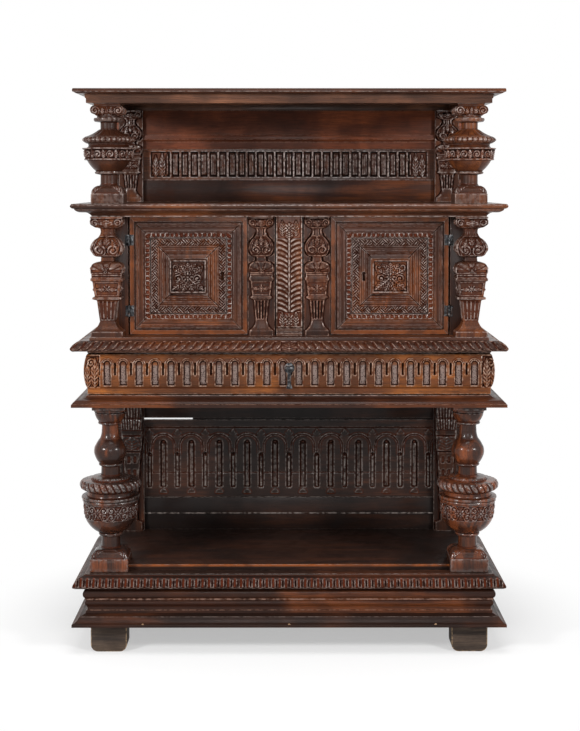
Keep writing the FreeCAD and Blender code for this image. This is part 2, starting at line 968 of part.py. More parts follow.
def rear_pilasters():
    across = side_line(-size.pilaster_inset) - size.pilaster_width / 2
    ground = size.body_back - size.back_thickness
    for name, sign in (("left", -1), ("right", 1)):
        height = waist_level - floor_top
        lower = pilaster(
            f"lower_pilaster_{name}",
            across * sign,
            ground,
            floor_top,
            size.pilaster_width,
            height,
            size.pilaster_board,
            size.pilaster_relief,
            TAPER_SHARES,
        )
        console(lower, height)
        keep(lower)
        keep(
            pilaster(
                f"upper_pilaster_{name}",
                across * sign,
                ground,
                shelf_top,
                size.pilaster_width,
                size.upper_height,
                size.pilaster_board,
                size.pilaster_relief,
                TERM_SHARES,
            )
        )


def console(body, height):
    """A scrolled console at the head of a lower pilaster."""
    sketch = new_sketch(body, "YZ_Plane")
    start = height * CONSOLE_FOOT_SHARE
    rise = height - start
    front = [
        (-(size.pilaster_board + size.console_relief * out), start + rise * up, bend)
        for up, out, bend in CONSOLE_SHARES
    ]
    draw(sketch, front + [(-size.pilaster_board, height), (-size.pilaster_board, start)], flipped=True)
    pad(body, sketch, size.pilaster_width * PILASTER_TERM_SHARE, symmetric=True)


def back_board(label, bottom, top, thickness):
    half = size.back_width / 2
    return board(label, -half, size.body_back - thickness, bottom, half, size.body_back, top)


def sunk_flutes(body, front, outline, pitch, count):
    """Sinks a row of flutes into a board's front face."""
    sketch = new_sketch(body, "XZ_Plane", -front + size.overrun)
    draw(sketch, outline)
    cut = pocket(body, sketch, size.carving_depth + size.overrun)
    repeat(body, cut, sketch, "H_Axis", pitch, count)


def lower_back():
    """The back of the lower stage, with a carved arcade between plain boards."""
    arcade_level = floor_top + size.lower_back_foot
    arcade_top = arcade_level + size.arcade_height
    foot_board = back_board("lower_back_foot_board", floor_top, arcade_level, size.back_thickness)
    head_level = arcade_top + size.slip_height
    head_board = back_board("lower_back_head_board", head_level, waist_level, size.back_thickness)
    half = size.back_width / 2
    gap_start = size.slip_gap_start - half
    gap_end = gap_start + size.slip_gap_length
    slips = []
    for name, left, right in (("left", -half, gap_start), ("right", gap_end, half)):
        front = size.body_back - size.slip_thickness
        slips.append(
            board(f"lower_back_slip_{name}", left, front, arcade_top, right, size.body_back, head_level)
        )
    group("lower_back_boards", [foot_board, head_board] + slips)
    panel = back_board("lower_back_panel", arcade_level, arcade_top, size.back_panel_thickness)
    face = size.body_back - size.back_panel_thickness
    reach = (ARCHES - 1) / 2
    foot = size.arcade_flute_foot
    long_flute = arch(size.arch_pitch * -reach, foot, size.long_flute_width, size.long_flute_height)
    sunk_flutes(panel, face, long_flute, size.arch_pitch, ARCHES)
    first = size.arch_pitch * (1 - ARCHES / 2)
    short_flute = arch(first, foot, size.short_flute_width, size.short_flute_height)
    sunk_flutes(panel, face, short_flute, size.arch_pitch, ARCHES - 1)
    hoods = new_sketch(panel, "XZ_Plane", -face + size.overrun)
    spring = foot + size.arch_spring
    middle = size.arch_pitch * -reach
    inner = size.arch_radius - size.arch_band
    draw(
        hoods,
        [
            (middle + size.arch_radius, spring, 1),
            (middle - size.arch_radius, spring),
            (middle - inner, spring, -1),
            (middle + inner, spring),
        ],
    )
    cut = pocket(panel, hoods, size.carving_depth / 2 + size.overrun)
    repeat(panel, cut, hoods, "H_Axis", size.arch_pitch, ARCHES)
    keep(panel)


def frieze_corners(height):
    """The convex frieze, seen at the side: a flat band under a swelling face."""
    flat = size.frieze_flat
    return [(flat, 0), (flat, height * FRIEZE_BAND_SHARE, FRIEZE_BEND), (flat, height)]



def frieze_sides():
    """The sides of the drawer case, with the drawer front's frieze returned along them."""
    height = size.frieze_height
    inner = side_line(size.frieze_flat - size.frieze_side_thickness)
    start = size.body_front - size.drawer_front_inside - size.drawer_stop_gap
    for name, sign in (("left", -1), ("right", 1)):
        body = new_body(f"frieze_side_{name}")
        sketch = new_sketch(body, "XZ_Plane")
        face = [(side_line(out) * sign, up, *bend) for out, up, *bend in frieze_corners(height)]
        draw(sketch, [(inner * sign, 0)] + face + [(inner * sign, height)], flipped=sign < 0)
        pad(body, sketch, start + size.body_back)
        put(body, back=size.body_back, up=frieze_level)
        keep(body)
    keep(
        board(
            "frieze_back",
            -inner,
            size.body_back - size.frieze_back_thickness,
            frieze_level,
            inner,
            size.body_back,
            deck_level,
        )
    )


def drawer_runners():
    """Bearers on the case sides, which the grooved drawer sides run on."""
    inner = side_line(size.frieze_flat - size.frieze_side_thickness)
    front = front_line(-size.drawer_front_inside) + size.drawer_stop_gap
    back = front + size.drawer_length
    top = frieze_level + size.drawer_gap_below + size.runner_rise
    runners = []
    for name, sign in (("left", -1), ("right", 1)):
        runners.append(
            board(
                f"runner_{name}",
                inner * sign,
                front,
                top - size.runner_height,
                (inner - size.runner_reach) * sign,
                back,
                top,
            )
        )
    group("drawer_runners", runners)


def drawer_front():
    """The full-width drawer front, its frieze swelling at the front and at both ends."""
    height = size.frieze_height - size.drawer_gap_below - size.drawer_gap_above
    corners = [(-size.drawer_front_inside, 0)] + frieze_corners(height)
    corners.append((-size.drawer_front_inside, height))
    body = new_body("drawer_front")
    sketch = new_sketch(body, "YZ_Plane")
    draw(sketch, [(front_line(out), up, *bend) for out, up, *bend in corners], flipped=True)
    pad(body, sketch, side_line(size.frieze_reach) * 2, symmetric=True)
    waste = new_sketch(body, "XZ_Plane")
    far = size.frieze_reach + size.overrun
    for sign in (1, -1):
        outside = frieze_corners(height) + [(far, height), (far, 0)]
        draw(waste, [(side_line(out) * sign, up, *bend) for out, up, *bend in outside], flipped=sign < 0)
    pocket(body, waste)
    outside_face = size.body_front + size.frieze_reach + size.overrun
    flutes = new_sketch(body, "XZ_Plane", outside_face)
    first = size.flute_pitch * ((1 - DRAWER_FLUTES) / 2)
    draw(flutes, arch(first, size.flute_foot, size.flute_width, size.flute_height))
    cut = pocket(body, flutes, outside_face - size.body_front - size.flute_floor)
    repeat(body, cut, flutes, "H_Axis", size.flute_pitch, DRAWER_FLUTES)
    seat = new_sketch(body, "XZ_Plane", outside_face)
    circle(seat, 0, size.pull_height, size.rose_radius)
    pocket(body, seat, outside_face - size.body_front - size.rose_floor)
    bore = new_sketch(body, "XZ_Plane", outside_face)
    circle(bore, 0, size.pull_height, size.shank_radius)
    pocket(body, bore)
    put(body, up=frieze_level + size.drawer_gap_below)
    keep(body)


def drawer_box():
    """The drawer's sides, back and bottom behind its front."""
    outer = side_line(size.frieze_flat - size.frieze_side_thickness) - size.drawer_side_gap
    inner = outer - size.drawer_side_thickness
    front = front_line(-size.drawer_front_inside)
    back = front + size.drawer_length
    level = frieze_level + size.drawer_gap_below
    foot = level + size.drawer_box_rise
    top = foot + size.drawer_side_height
    groove_depth = size.runner_reach - size.drawer_side_gap + size.runner_gap
    groove_top = size.runner_rise - size.drawer_box_rise + size.runner_seat_gap
    groove_foot = groove_top - size.runner_height - size.runner_gap
    sides = []
    for name, sign in (("left", -1), ("right", 1)):
        side = board(f"drawer_side_{name}", outer * sign, front, foot, inner * sign, back, top)
        groove = new_sketch(side, "XZ_Plane", -back - size.overrun)
        bottom_of_groove = (outer - groove_depth) * sign
        draw(groove, rectangle((outer + size.overrun) * sign, groove_foot, bottom_of_groove, groove_top))
        pocket(side, groove)
        sides.append(side)
    group("drawer_sides", sides)
    inside_back = back - size.drawer_back_thickness
    keep(board("drawer_back", -inner, inside_back, foot, inner, back, top))
    bottom = foot + size.drawer_bottom_rise
    bottom_top = bottom + size.drawer_bottom_thickness
    keep(board("drawer_bottom", -inner, front, bottom, inner, inside_back, bottom_top))


def drawer_pull():
    """The iron staple on the drawer front and the drop pull that swings on its pin."""
    height = frieze_level + size.drawer_gap_below + size.pull_height
    staple = new_body("pull_staple")
    rose = new_sketch(staple, "XZ_Plane")
    circle(rose, 0, 0, size.rose_radius)
    pad(staple, rose, size.rose_thickness)
    shank = new_sketch(staple, "XZ_Plane", -(size.rose_floor + size.drawer_front_inside))
    circle(shank, 0, 0, size.shank_radius)
    pad(staple, shank, size.rose_floor + size.drawer_front_inside)
    ear_out = size.pull_out - size.rose_floor
    ears = new_sketch(staple, "YZ_Plane")
    half = size.pull_barrel_radius * EAR_HEIGHT_SHARE
    draw(
        ears,
        [
            (size.rose_floor * 0, -half),
            (size.rose_floor * 0, half),
            (-ear_out, half, 1),
            (-ear_out, -half),
        ],
    )
    span = size.pull_barrel_width + size.pull_side_gap * 2
    pad(staple, ears, span + size.pull_ear * 2, symmetric=True)
    clear = new_sketch(staple, "YZ_Plane")
    draw(clear, rectangle(-(ear_out + size.pull_out), -size.pull_out, -size.rose_thickness, size.pull_out))
    pocket(staple, clear, span, symmetric=True)
    pin = new_sketch(staple, "YZ_Plane")
    circle(pin, -ear_out, 0, size.pull_pin_radius)
    pad(staple, pin, span + size.pull_ear * 2, symmetric=True)
    put(staple, 0, front_line(size.rose_floor), height)
    keep(staple)

    pull = new_body("drop_pull")
    barrel = new_sketch(pull, "YZ_Plane")
    circle(barrel, 0, 0, size.pull_barrel_radius)
    pad(pull, barrel, size.pull_barrel_width, symmetric=True)
    bar = new_sketch(pull, "XZ_Plane")
    half = size.pull_bar_width / 2
    foot_half = size.pull_foot_width / 2
    foot_top = size.pull_foot_height - size.pull_length
    draw(
        bar,
        [
            (-foot_half, -size.pull_length, PULL_FOOT_BEND),
            (foot_half, -size.pull_length),
            (half, foot_top),
            (half, 0),
            (-half, 0),
            (-half, foot_top),
        ],
    )
    pad(pull, bar, size.pull_thickness, symmetric=True)
    bore = new_sketch(pull, "YZ_Plane")
    circle(bore, 0, 0, size.pull_pin_radius + size.pull_pin_gap)
    pocket(pull, bore)
    put(pull, 0, front_line(size.pull_out), height)
    keep(pull)



def deck():
    """The frame with the gadrooned edge, and the deck board that lies in its rebate."""
    reach = size.deck_reach
    height = size.deck_frame_height
    rebate = height + size.deck_rise - size.deck_board_thickness
    edge = section(reach, height, DECK_EDGE_SHARES, size.frame_inside)
    corners = edge[:-1] + [(size.deck_board_out, height), (size.deck_board_out, rebate)]
    corners.append((-size.frame_inside, rebate))
    lengths = [
        front_length("deck_moulding_front", corners, reach, size.frame_inside, deck_level),
        side_length("deck_moulding_right", corners, reach, size.frame_inside, deck_level, 1),
        side_length("deck_moulding_left", corners, reach, size.frame_inside, deck_level, -1),
    ]
    group("deck_moulding", lengths)
    edge_line = side_line(size.deck_board_out)
    keep(
        board(
            "deck_board",
            -edge_line,
            front_line(size.deck_board_out),
            deck_top - size.deck_board_thickness,
            edge_line,
            size.body_back,
            deck_top,
        )
    )


def case_sides():
    """Framed sides: a thin panel in a thicker frame."""
    front = -size.case_front + size.stile_thickness
    for name, sign in (("left", -1), ("right", 1)):
        body = new_body(f"case_side_{name}")
        frame = new_sketch(body, "YZ_Plane")
        height = size.cupboard_height
        rail = size.side_stile_width
        draw(frame, rectangle(front, 0, size.body_back, height))
        draw(frame, rectangle(front + rail, rail, size.body_back - rail, height - rail))
        pad(body, frame, size.side_thickness, symmetric=True)
        panel = new_sketch(body, "YZ_Plane")
        draw(panel, rectangle(front + rail, rail, size.body_back - rail, height - rail))
        pad(body, panel, size.side_panel_thickness, symmetric=True)
        put(body, (case_edge - size.side_thickness / 2) * sign, 0, deck_top)
        keep(body)
    inner = case_edge - size.side_thickness
    keep(
        board(
            "case_back",
            -inner,
            size.body_back - size.case_back_thickness,
            deck_top,
            inner,
            size.body_back,
            shelf_level,
        )
    )


def case_front():
    """The two door posts, the wide centre stile and the carved pieces on it."""
    front = -size.case_front
    back = front + size.stile_thickness
    posts = []
    for name, sign in (("left", -1), ("right", 1)):
        outer = case_edge * sign
        posts.append(
            board(f"door_post_{name}", post_edge * sign, front, deck_top, outer, back, shelf_level)
        )
    group("door_posts", posts)
    half = size.centre_stile_width / 2
    keep(board("centre_stile", -half, front, deck_top, half, back, shelf_level))
    across = size.inner_pilaster_inset + size.inner_pilaster_width / 2
    for name, sign in (("left", -1), ("right", 1)):
        keep(
            pilaster(
                f"inner_pilaster_{name}",
                across * sign,
                front,
                deck_top,
                size.inner_pilaster_width,
                size.cupboard_height,
                size.inner_pilaster_board,
                size.inner_pilaster_relief,
                TERM_SHARES,
            )
        )
    centre_panel(front)


def centre_panel(front):
    """The upright panel between the inner pilasters, with a raised border."""
    half = size.centre_panel_width / 2
    border = size.centre_panel_border
    height = size.cupboard_height
    body = board(
        "centre_panel", -half, front - size.centre_panel_thickness, deck_top, half, front, shelf_level
    )
    sketch = new_sketch(body, "XZ_Plane", size.case_front + size.centre_panel_thickness + size.overrun)
    draw(sketch, rectangle(border - half, border, half - border, height - border))
    pocket(body, sketch, size.centre_panel_sunk + size.overrun)
    keep(body)


def door_member(name, quarter):
    """One of a door frame's four mitred members, about the door's centre."""
    body = new_body(f"{name}_member")
    sketch = new_sketch(body, "YZ_Plane")
    outer = door_size / 2
    inner = size.door_opening_half
    face = size.door_thickness
    crest = outer - size.door_edge
    hollow = crest - size.door_moulding_width
    draw(
        sketch,
        [
            (-face, outer),
            (0, outer),
            (0, inner + size.panel_rebate),
            (-size.panel_flange, inner + size.panel_rebate),
            (-size.panel_flange, inner),
            (-face, inner),
            (-(face + size.door_band_rise), hollow),
            (-(face + size.door_moulding_rise), hollow + size.door_band_rise, DOOR_BEND),
            (-(face + size.door_moulding_rise * DOOR_CREST_SHARE), crest),
            (-face, crest),
        ],
    )
    pad(body, sketch, door_size, symmetric=True)
    mitres = new_sketch(body, "XZ_Plane")
    far = outer + size.overrun
    for sign in (1, -1):
        draw(mitres, [(0, 0), (far * sign, far), (far * sign, 0)])
    pocket(body, mitres)
    body.Placement.Rotation = FreeCAD.Rotation(Vector(0, 1, 0), 90 * quarter)
    return body



def block(label, half_width, half_height, top_half_width, top_half_height, depth):
    """A block that narrows towards its front, standing on the XZ plane."""
    wedge = doc.addObject("Part::Wedge", label)
    bounds = {
        "Xmin": -half_width,
        "Xmax": half_width,
        "Zmin": -half_height,
        "Zmax": half_height,
        "X2min": -top_half_width,
        "X2max": top_half_width,
        "Z2min": -top_half_height,
        "Z2max": top_half_height,
        "Ymax": depth,
    }
    wedge.Ymin = 0
    for name, bound in bounds.items():
        wedge.setExpression(name, bound.text)
    wedge.Placement.Rotation = FreeCAD.Rotation(Vector(0, 0, 1), 180)
    return wedge


def stack(label, blocks):
    """Blocks one in front of the other, as one piece."""
    fused = doc.addObject("Part::MultiFuse", label)
    fused.Shapes = blocks
    return fused


def door(name, sign):
    """A door: its mitred frame, its stepped panel and the block on the panel."""
    back = -size.case_front + size.door_thickness
    middle = door_level + door_size / 2
    members = [door_member(f"door_{name}", quarter) for quarter in range(4)]
    frame = group(f"door_{name}_frame", members)
    put(frame, door_centre * sign, back, middle)

    flange = size.door_opening_half + size.panel_rebate
    field = size.door_opening_half - size.panel_gap
    crest = field - size.field_slope
    step = crest - size.step_inset
    step_top = step - size.step_slope
    ground = size.door_thickness + size.field_rise
    plate = block(f"door_{name}_flange", flange, flange, flange, flange, size.panel_flange)
    body = block(f"door_{name}_ground", field, field, field, field, ground)
    slope = block(f"door_{name}_slope", field, field, crest, crest, size.field_top)
    terrace = block(f"door_{name}_step", step, step, step_top, step_top, size.step_rise)
    slope.setExpression(".Placement.Base.y", (-ground).text)
    terrace.setExpression(".Placement.Base.y", (-(ground + size.field_top)).text)
    panel = stack(f"door_{name}_panel", [plate, body, slope, terrace])
    put(panel, door_centre * sign, back, middle)
    keep(panel, f"door_{name}_panel")

    half_width = size.block_width / 2
    half_height = size.block_height / 2
    top_width = half_width - size.block_edge
    top_height = half_height - size.block_edge
    plinth = block(
        f"door_{name}_block_foot", half_width, half_height, half_width, half_height, size.block_rise
    )
    head = block(
        f"door_{name}_block_head", half_width, half_height, top_width, top_height, size.block_top_rise
    )
    head.setExpression(".Placement.Base.y", (-size.block_rise).text)
    boss = stack(f"door_{name}_block", [plinth, head])
    put(boss, door_centre * sign, back - ground - size.field_top - size.step_rise, middle)
    keep(boss, f"door_{name}_block")


def hinge_leaf(label, sign, width, side, knuckles):
    """A hinge leaf with its knuckles about the local Z axis. The side is 1 for the leaf on the post."""
    body = new_body(label)
    sketch = new_sketch(body, "XY_Plane")
    front = size.hinge_out - size.leaf_thickness
    draw(sketch, rectangle(0, front, width * sign * side, size.hinge_out))
    pad(body, sketch, size.hinge_height)
    third = size.hinge_height / 3
    barrel = new_sketch(body, "XY_Plane")
    circle(barrel, 0, 0, size.knuckle_radius)
    pad(body, barrel, size.hinge_height)
    gap = size.knuckle_gap
    reach = size.knuckle_radius + size.hinge_pin_gap
    cuts = [(third - gap, third + gap * 2)] if knuckles == 2 else [(0, third), (third * 2, third)]
    for start, length in cuts:
        clear = new_sketch(body, "XY_Plane", start)
        draw(clear, rectangle(-reach, -reach, reach, size.hinge_out))
        pocket(body, clear, length, backwards=True)
    return body


def hinges():
    """Butt hinges: straps on the doors, plates with fixed pins on the posts."""
    plates = []
    for name, sign in (("left", -1), ("right", 1)):
        straps = []
        for rise in (size.lower_hinge_rise, size.upper_hinge_rise):
            foot_level = door_level + rise - size.hinge_height / 2
            place = (hinge_axis * sign, -(size.case_front + size.hinge_out), foot_level)
            strap = hinge_leaf(f"hinge_strap_{name}", sign, size.strap_width, -1, 1)
            bore = new_sketch(strap, "XY_Plane")
            circle(bore, 0, 0, size.hinge_pin_radius + size.hinge_pin_gap)
            pocket(strap, bore)
            put(strap, *place)
            straps.append(strap)
            plate = hinge_leaf(f"hinge_plate_{name}", sign, size.plate_width, 1, 2)
            pin = new_sketch(plate, "XY_Plane")
            circle(pin, 0, 0, size.hinge_pin_radius)
            pad(plate, pin, size.hinge_height)
            put(plate, *place)
            plates.append(plate)
        group(f"hinge_straps_{name}", straps)
    group("hinge_plates", plates)


def locks():
    """An iron lock on the back of each door, with a bolt that shoots behind the centre stile."""
    back = -size.case_front + size.door_thickness
    edge = size.centre_stile_width / 2 + size.door_gap + size.lock_edge_gap
    middle = door_level + door_size / 2
    foot_level = middle - size.lock_height / 2
    for name, sign in (("left", -1), ("right", 1)):
        far = edge + size.lock_width
        case = board(
            f"lock_case_{name}",
            edge * sign,
            back,
            foot_level,
            far * sign,
            back + size.lock_thickness,
            foot_level + size.lock_height,
        )
        tunnel = new_sketch(case, "XZ_Plane", -(back + size.lock_wall))
        half = size.bolt_height / 2 + size.bolt_gap
        centre = size.lock_height / 2
        bolt_end = edge + size.bolt_length + size.bolt_gap
        near = edge - size.overrun
        draw(tunnel, rectangle(near * sign, centre - half, bolt_end * sign, centre + half))
        pocket(case, tunnel, size.bolt_thickness + size.bolt_gap * 2)
        keep(case)
        half = size.bolt_height / 2
        bolt_front = back + size.lock_wall + size.bolt_gap
        keep(
            board(
                f"lock_bolt_{name}",
                edge * sign,
                bolt_front,
                middle - half,
                (edge + size.bolt_length) * sign,
                bolt_front + size.bolt_thickness,
                middle + half,
            )
        )


def upper_back():
    """The back of the upper stage, with a fluted band between plain boards."""
    band_level = shelf_top + size.upper_foot_board
    band_top = band_level + size.upper_flute_band
    foot_board = back_board("upper_back_foot_board", shelf_top, band_level, size.back_thickness)
    head_board = back_board("upper_back_head_board", band_top, cornice_level, size.back_thickness)
    moulding = new_sketch(head_board, "YZ_Plane")
    face = size.body_back - size.back_thickness
    foot_height = size.upper_moulding_foot - size.upper_flute_band
    top_height = foot_height + size.upper_moulding_height
    draw(
        moulding,
        [
            (face, foot_height),
            (face - size.upper_moulding_rise, foot_height + size.upper_moulding_rise),
            (face - size.upper_moulding_rise, top_height),
            (face, top_height),
        ],
    )
    span = (side_line(-size.pilaster_inset) - size.pilaster_width) * 2
    pad(head_board, moulding, span, symmetric=True)
    group("upper_back_boards", [foot_board, head_board])
    band = back_board("upper_back_panel", band_level, band_top, size.back_panel_thickness)
    middle = size.upper_flute_pitch * ((1 - UPPER_FLUTES) / 2)
    half = size.upper_flute_width / 2
    top = size.upper_flute_foot + size.upper_flute_height
    flute = rectangle(middle - half, size.upper_flute_foot, middle + half, top)
    face = size.body_back - size.back_panel_thickness
    sunk_flutes(band, face, flute, size.upper_flute_pitch, UPPER_FLUTES)
    keep(band)


def cornice():
    lengths = moulded_lengths(
        "cornice_frieze",
        size.cornice_reach,
        size.cornice_height,
        CORNICE_EDGE_SHARES,
        size.frame_inside,
        cornice_level,
    )
    inner = side_line(-size.frame_inside)
    back = board(
        "cornice_back",
        -inner,
        size.body_back - size.back_rail_thickness,
        cornice_level,
        inner,
        size.body_back,
        top_level,
    )
    group("cornice_frieze", lengths + [back])
    moulded_board("top_board", size.top_reach, size.top_thickness, TOP_EDGE_SHARES, top_level)


feet()
base_moulding()
base_pegs()
plinth_rails()
nulled_moulding()
floor_board()
columns()
rear_pilasters()
lower_back()
moulded_board("waist_board", size.waist_reach, size.waist_height, WAIST_EDGE_SHARES, waist_level)
frieze_sides()
drawer_runners()
drawer_front()
drawer_box()
drawer_pull()
deck()
corner_terms()
case_sides()
case_front()
door("left", -1)
door("right", 1)
hinges()
locks()
moulded_board("shelf_board", size.shelf_reach, size.shelf_thickness, SHELF_EDGE_SHARES, shelf_level)
upper_back()
cornice()
doc.recompute()

faults = [item.Label for item in doc.Objects if {"Invalid", "Error"} & set(item.State)]
for subpart in subparts:
    if subpart.Shape.isNull() or not subpart.Shape.isValid():
        faults.append(subpart.Label + " has no valid shape")
if faults:
    raise SystemExit("failed: " + ", ".join(faults))

os.makedirs("parts", exist_ok=True)
for subpart in subparts:
    subpart.Shape.exportStep(f"parts/{subpart.Label}.step")
print(len(subparts), "sub-parts")
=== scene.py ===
import json
import math

import bmesh
import bpy
import numpy as np
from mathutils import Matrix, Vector

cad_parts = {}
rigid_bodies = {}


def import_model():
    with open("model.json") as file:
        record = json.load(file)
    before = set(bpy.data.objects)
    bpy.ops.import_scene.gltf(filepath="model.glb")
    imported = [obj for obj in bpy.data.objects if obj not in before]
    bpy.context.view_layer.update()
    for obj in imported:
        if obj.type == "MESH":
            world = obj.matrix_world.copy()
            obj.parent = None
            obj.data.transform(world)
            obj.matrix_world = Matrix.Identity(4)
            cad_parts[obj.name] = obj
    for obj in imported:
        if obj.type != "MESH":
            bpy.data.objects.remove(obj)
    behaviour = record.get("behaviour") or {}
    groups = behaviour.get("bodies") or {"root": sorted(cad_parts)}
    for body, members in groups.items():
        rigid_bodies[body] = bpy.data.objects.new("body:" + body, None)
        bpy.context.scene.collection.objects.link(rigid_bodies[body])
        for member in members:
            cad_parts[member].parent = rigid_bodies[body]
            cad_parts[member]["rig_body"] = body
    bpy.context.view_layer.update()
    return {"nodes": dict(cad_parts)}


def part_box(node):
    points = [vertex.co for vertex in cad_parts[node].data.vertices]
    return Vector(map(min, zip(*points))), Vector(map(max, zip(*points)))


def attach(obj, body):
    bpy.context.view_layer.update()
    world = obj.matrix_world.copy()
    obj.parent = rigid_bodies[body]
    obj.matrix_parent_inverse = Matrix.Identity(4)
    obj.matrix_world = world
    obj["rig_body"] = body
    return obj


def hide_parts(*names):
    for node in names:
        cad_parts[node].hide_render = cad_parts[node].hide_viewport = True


# The looks of the court cupboard: carved, turned and moulded timber with an old waxed finish, and its
# forged iron. Pieces are drawn in millimetres, +X to the right seen from the front, +Y to the back and
# +Z up, and are kept in metres.

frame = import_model()

MM = 0.001
UP = Vector((0, 0, 1))


def node_box(node):
    """The lowest and highest corner of a node, in millimetres."""
    low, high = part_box(node)
    return low / MM, high / MM


def node_sizes(node):
    """A node's lowest and highest corner, half its width and its height."""
    low, high = node_box(node)
    return low, high, (high.x - low.x) / 2, high.z - low.z


# Driving places, taken from the frame
POST_LOW, POST_HIGH = node_box("corner_term_right")
SIDE = POST_HIGH.x
FRONT = -POST_LOW.y
BACK = node_box("case_back")[1].y

# How far the plinth's rails reach inwards from the posts, and the thickness of its back rail
PLINTH_INSIDE = 25
BACK_RAIL = 22

# Worn edges and joints
EDGE_WEAR = 1.2
FINE_EDGE_WEAR = 0.5
SEAM = 0.15
MARGIN = 3
# A face is broad if its shortest edge is this many margins long
BROAD_SHARE = 2.5
SMOOTH_ANGLE = math.radians(38)
SHARP_ANGLE = math.radians(28)
FLAT_ANGLE = math.radians(1)
JOIN = 0.004

# The spacing of the points of carved faces, and of those along plain mouldings
CARVING_STEP = 1.6
COARSE_STEP = 2.2
MOULDING_STEP = 1.5
LENGTH_STEP = 40
LONGEST_FINE_EDGE = 7

# How far the carving lies above or below the neighbouring surface where it starts to darken with wax, dust
# and painted shade or to be worn and painted with a highlight, and how much farther it goes until it is
# fully dark or fully worn
LEAST_HOLLOW = 0.04
HOLLOW_DEPTH = 0.37
LEAST_CREST = 0.05
CREST_HEIGHT = 0.5
AVERAGING_ROUNDS = 4

# Timbers: light figure, body, dark figure, rubbed edges with a painted highlight, then least roughness and
# weight of the wax coat
TIMBERS = {
    "walnut": (
        ((0.21, 0.062, 0.018), (0.08, 0.0245, 0.0112), (0.014, 0.0068, 0.0052), (0.29, 0.225, 0.2)),
        (0.3, 0.14),
    ),
    "fox_walnut": (
        ((0.33, 0.105, 0.021), (0.145, 0.044, 0.0135), (0.026, 0.01, 0.0055), (0.32, 0.2, 0.14)),
        (0.3, 0.12),
    ),
    "red_walnut": (
        ((0.15, 0.041, 0.0115), (0.046, 0.0135, 0.0066), (0.011, 0.0055, 0.0042), (0.25, 0.14, 0.1)),
        (0.3, 0.1),
    ),
    "rosy_walnut": (
        ((0.34, 0.09, 0.033), (0.175, 0.051, 0.025), (0.026, 0.0112, 0.0082), (0.36, 0.2, 0.14)),
        (0.36, 0.08),
    ),
    "pale_walnut": (
        ((0.27, 0.11, 0.055), (0.14, 0.06, 0.035), (0.018, 0.009, 0.0065), (0.4, 0.31, 0.27)),
        (0.3, 0.14),
    ),
    "dark_walnut": (
        ((0.21, 0.055, 0.017), (0.038, 0.0135, 0.008), (0.009, 0.0055, 0.0047), (0.125, 0.102, 0.094)),
        (0.24, 0.28),
    ),
    "plinth_walnut": (
        ((0.09, 0.027, 0.011), (0.032, 0.012, 0.007), (0.008, 0.0052, 0.0045), (0.13, 0.088, 0.072)),
        (0.36, 0.03),
    ),
    "shadow_walnut": (
        ((0.04, 0.0155, 0.009), (0.0175, 0.0088, 0.0067), (0.006, 0.0045, 0.0042), (0.16, 0.13, 0.115)),
        (0.3, 0.1),
    ),
    "black_walnut": (
        ((0.075, 0.026, 0.013), (0.028, 0.0135, 0.0098), (0.008, 0.0057, 0.0052), (0.15, 0.12, 0.105)),
        (0.3, 0.12),
    ),
    "worn_oak": (
        ((0.115, 0.08, 0.058), (0.044, 0.033, 0.027), (0.015, 0.0115, 0.0105), (0.32, 0.21, 0.11)),
        (0.62, 0),
    ),
    "drawer_oak": (
        ((0.4, 0.25, 0.13), (0.28, 0.165, 0.085), (0.14, 0.075, 0.04), (0.5, 0.34, 0.2)),
        (0.5, 0),
    ),
}
COLOURS = ("Light", "Body", "Dark", "Rubbed")
# What is marked on the pieces' points: carved hollows, darkened with dirt and painted shade, crests, rubbed
# and painted with a highlight, punched ground, red and warm wear
MARKS = ("Hollow", "Crest", "Punched", "Ember", "Warm")
PUNCHED_LIGHT = (0.185, 0.138, 0.122)
PUNCHED_DARK = (0.022, 0.014, 0.012)
RED_GROUND = (0.075, 0.016, 0.006)
EMBER = (0.13, 0.022, 0.0068)
WARM = (0.24, 0.064, 0.0145)
CREVICE_DIRT_AND_SHADE = (0.005, 0.004, 0.0035)
IRON_DARK = (0.018, 0.018, 0.02)
IRON_RUBBED = (0.36, 0.37, 0.38)
RUST = (0.07, 0.03, 0.015)

COAT_ROUGHNESS = 0.15
WOOD_BUMP = (0.45, 0.0006)
IRON_BUMP = (0.5, 0.0005)
# The wood's figure: how its noise is stretched, its detail and distortion, and what part of it shows
FIGURE_KINDS = {
    "Bands": ((2.6, 34, 34), 4, 0.9, 0.36, 0.66),
    "Fibres": ((16, 420, 420), 3, 0.2, 0.38, 0.66),
    "Pores": ((60, 900, 900), 1, 0, 0.6, 0.72),
}
# How much each colours the timber
BOARD_TONE = 0.22
FIBRE_TONE = 0.42
PORE_TONE = 0.5
CLOUD_TONE = 0.35
SMOKE_TONE = 0.6
RUBBED_AND_SHEEN_TONE = 0.88
PUNCHED_TONE = 0.85
# The scales of the noises in the finish
SMOKE_SCALE = 2.6
CLOUD_SCALE = 17
CHIP_SCALE = 110
PUNCH_SCALE = 250
DENT_SCALE = 75
HAMMER_SCALE = 120
RUST_SCALE = 60
IRON_GRAIN_SCALE = 520


# Shader groups

def add(tree, kind, inputs=None, **settings):
    """A node with its settings, its values and what feeds it."""
    made = tree.nodes.new("ShaderNode" + kind)
    for name, value in settings.items():
        setattr(made, name, value)
    for key, value in (inputs or {}).items():
        if isinstance(value, bpy.types.NodeSocket):
            tree.links.new(value, made.inputs[key])
        elif made.inputs[key].type == "RGBA":
            made.inputs[key].default_value = (*value, 1)
        else:
            made.inputs[key].default_value = value
    return made


def arithmetic(kind):
    """A function that adds one kind of sum and gives its result."""

    def worked(tree, first, second):
        return add(tree, "Math", {0: first, 1: second}, operation=kind).outputs[0]

    return worked


plus = arithmetic("ADD")
minus = arithmetic("SUBTRACT")
times = arithmetic("MULTIPLY")
greater = arithmetic("MAXIMUM")


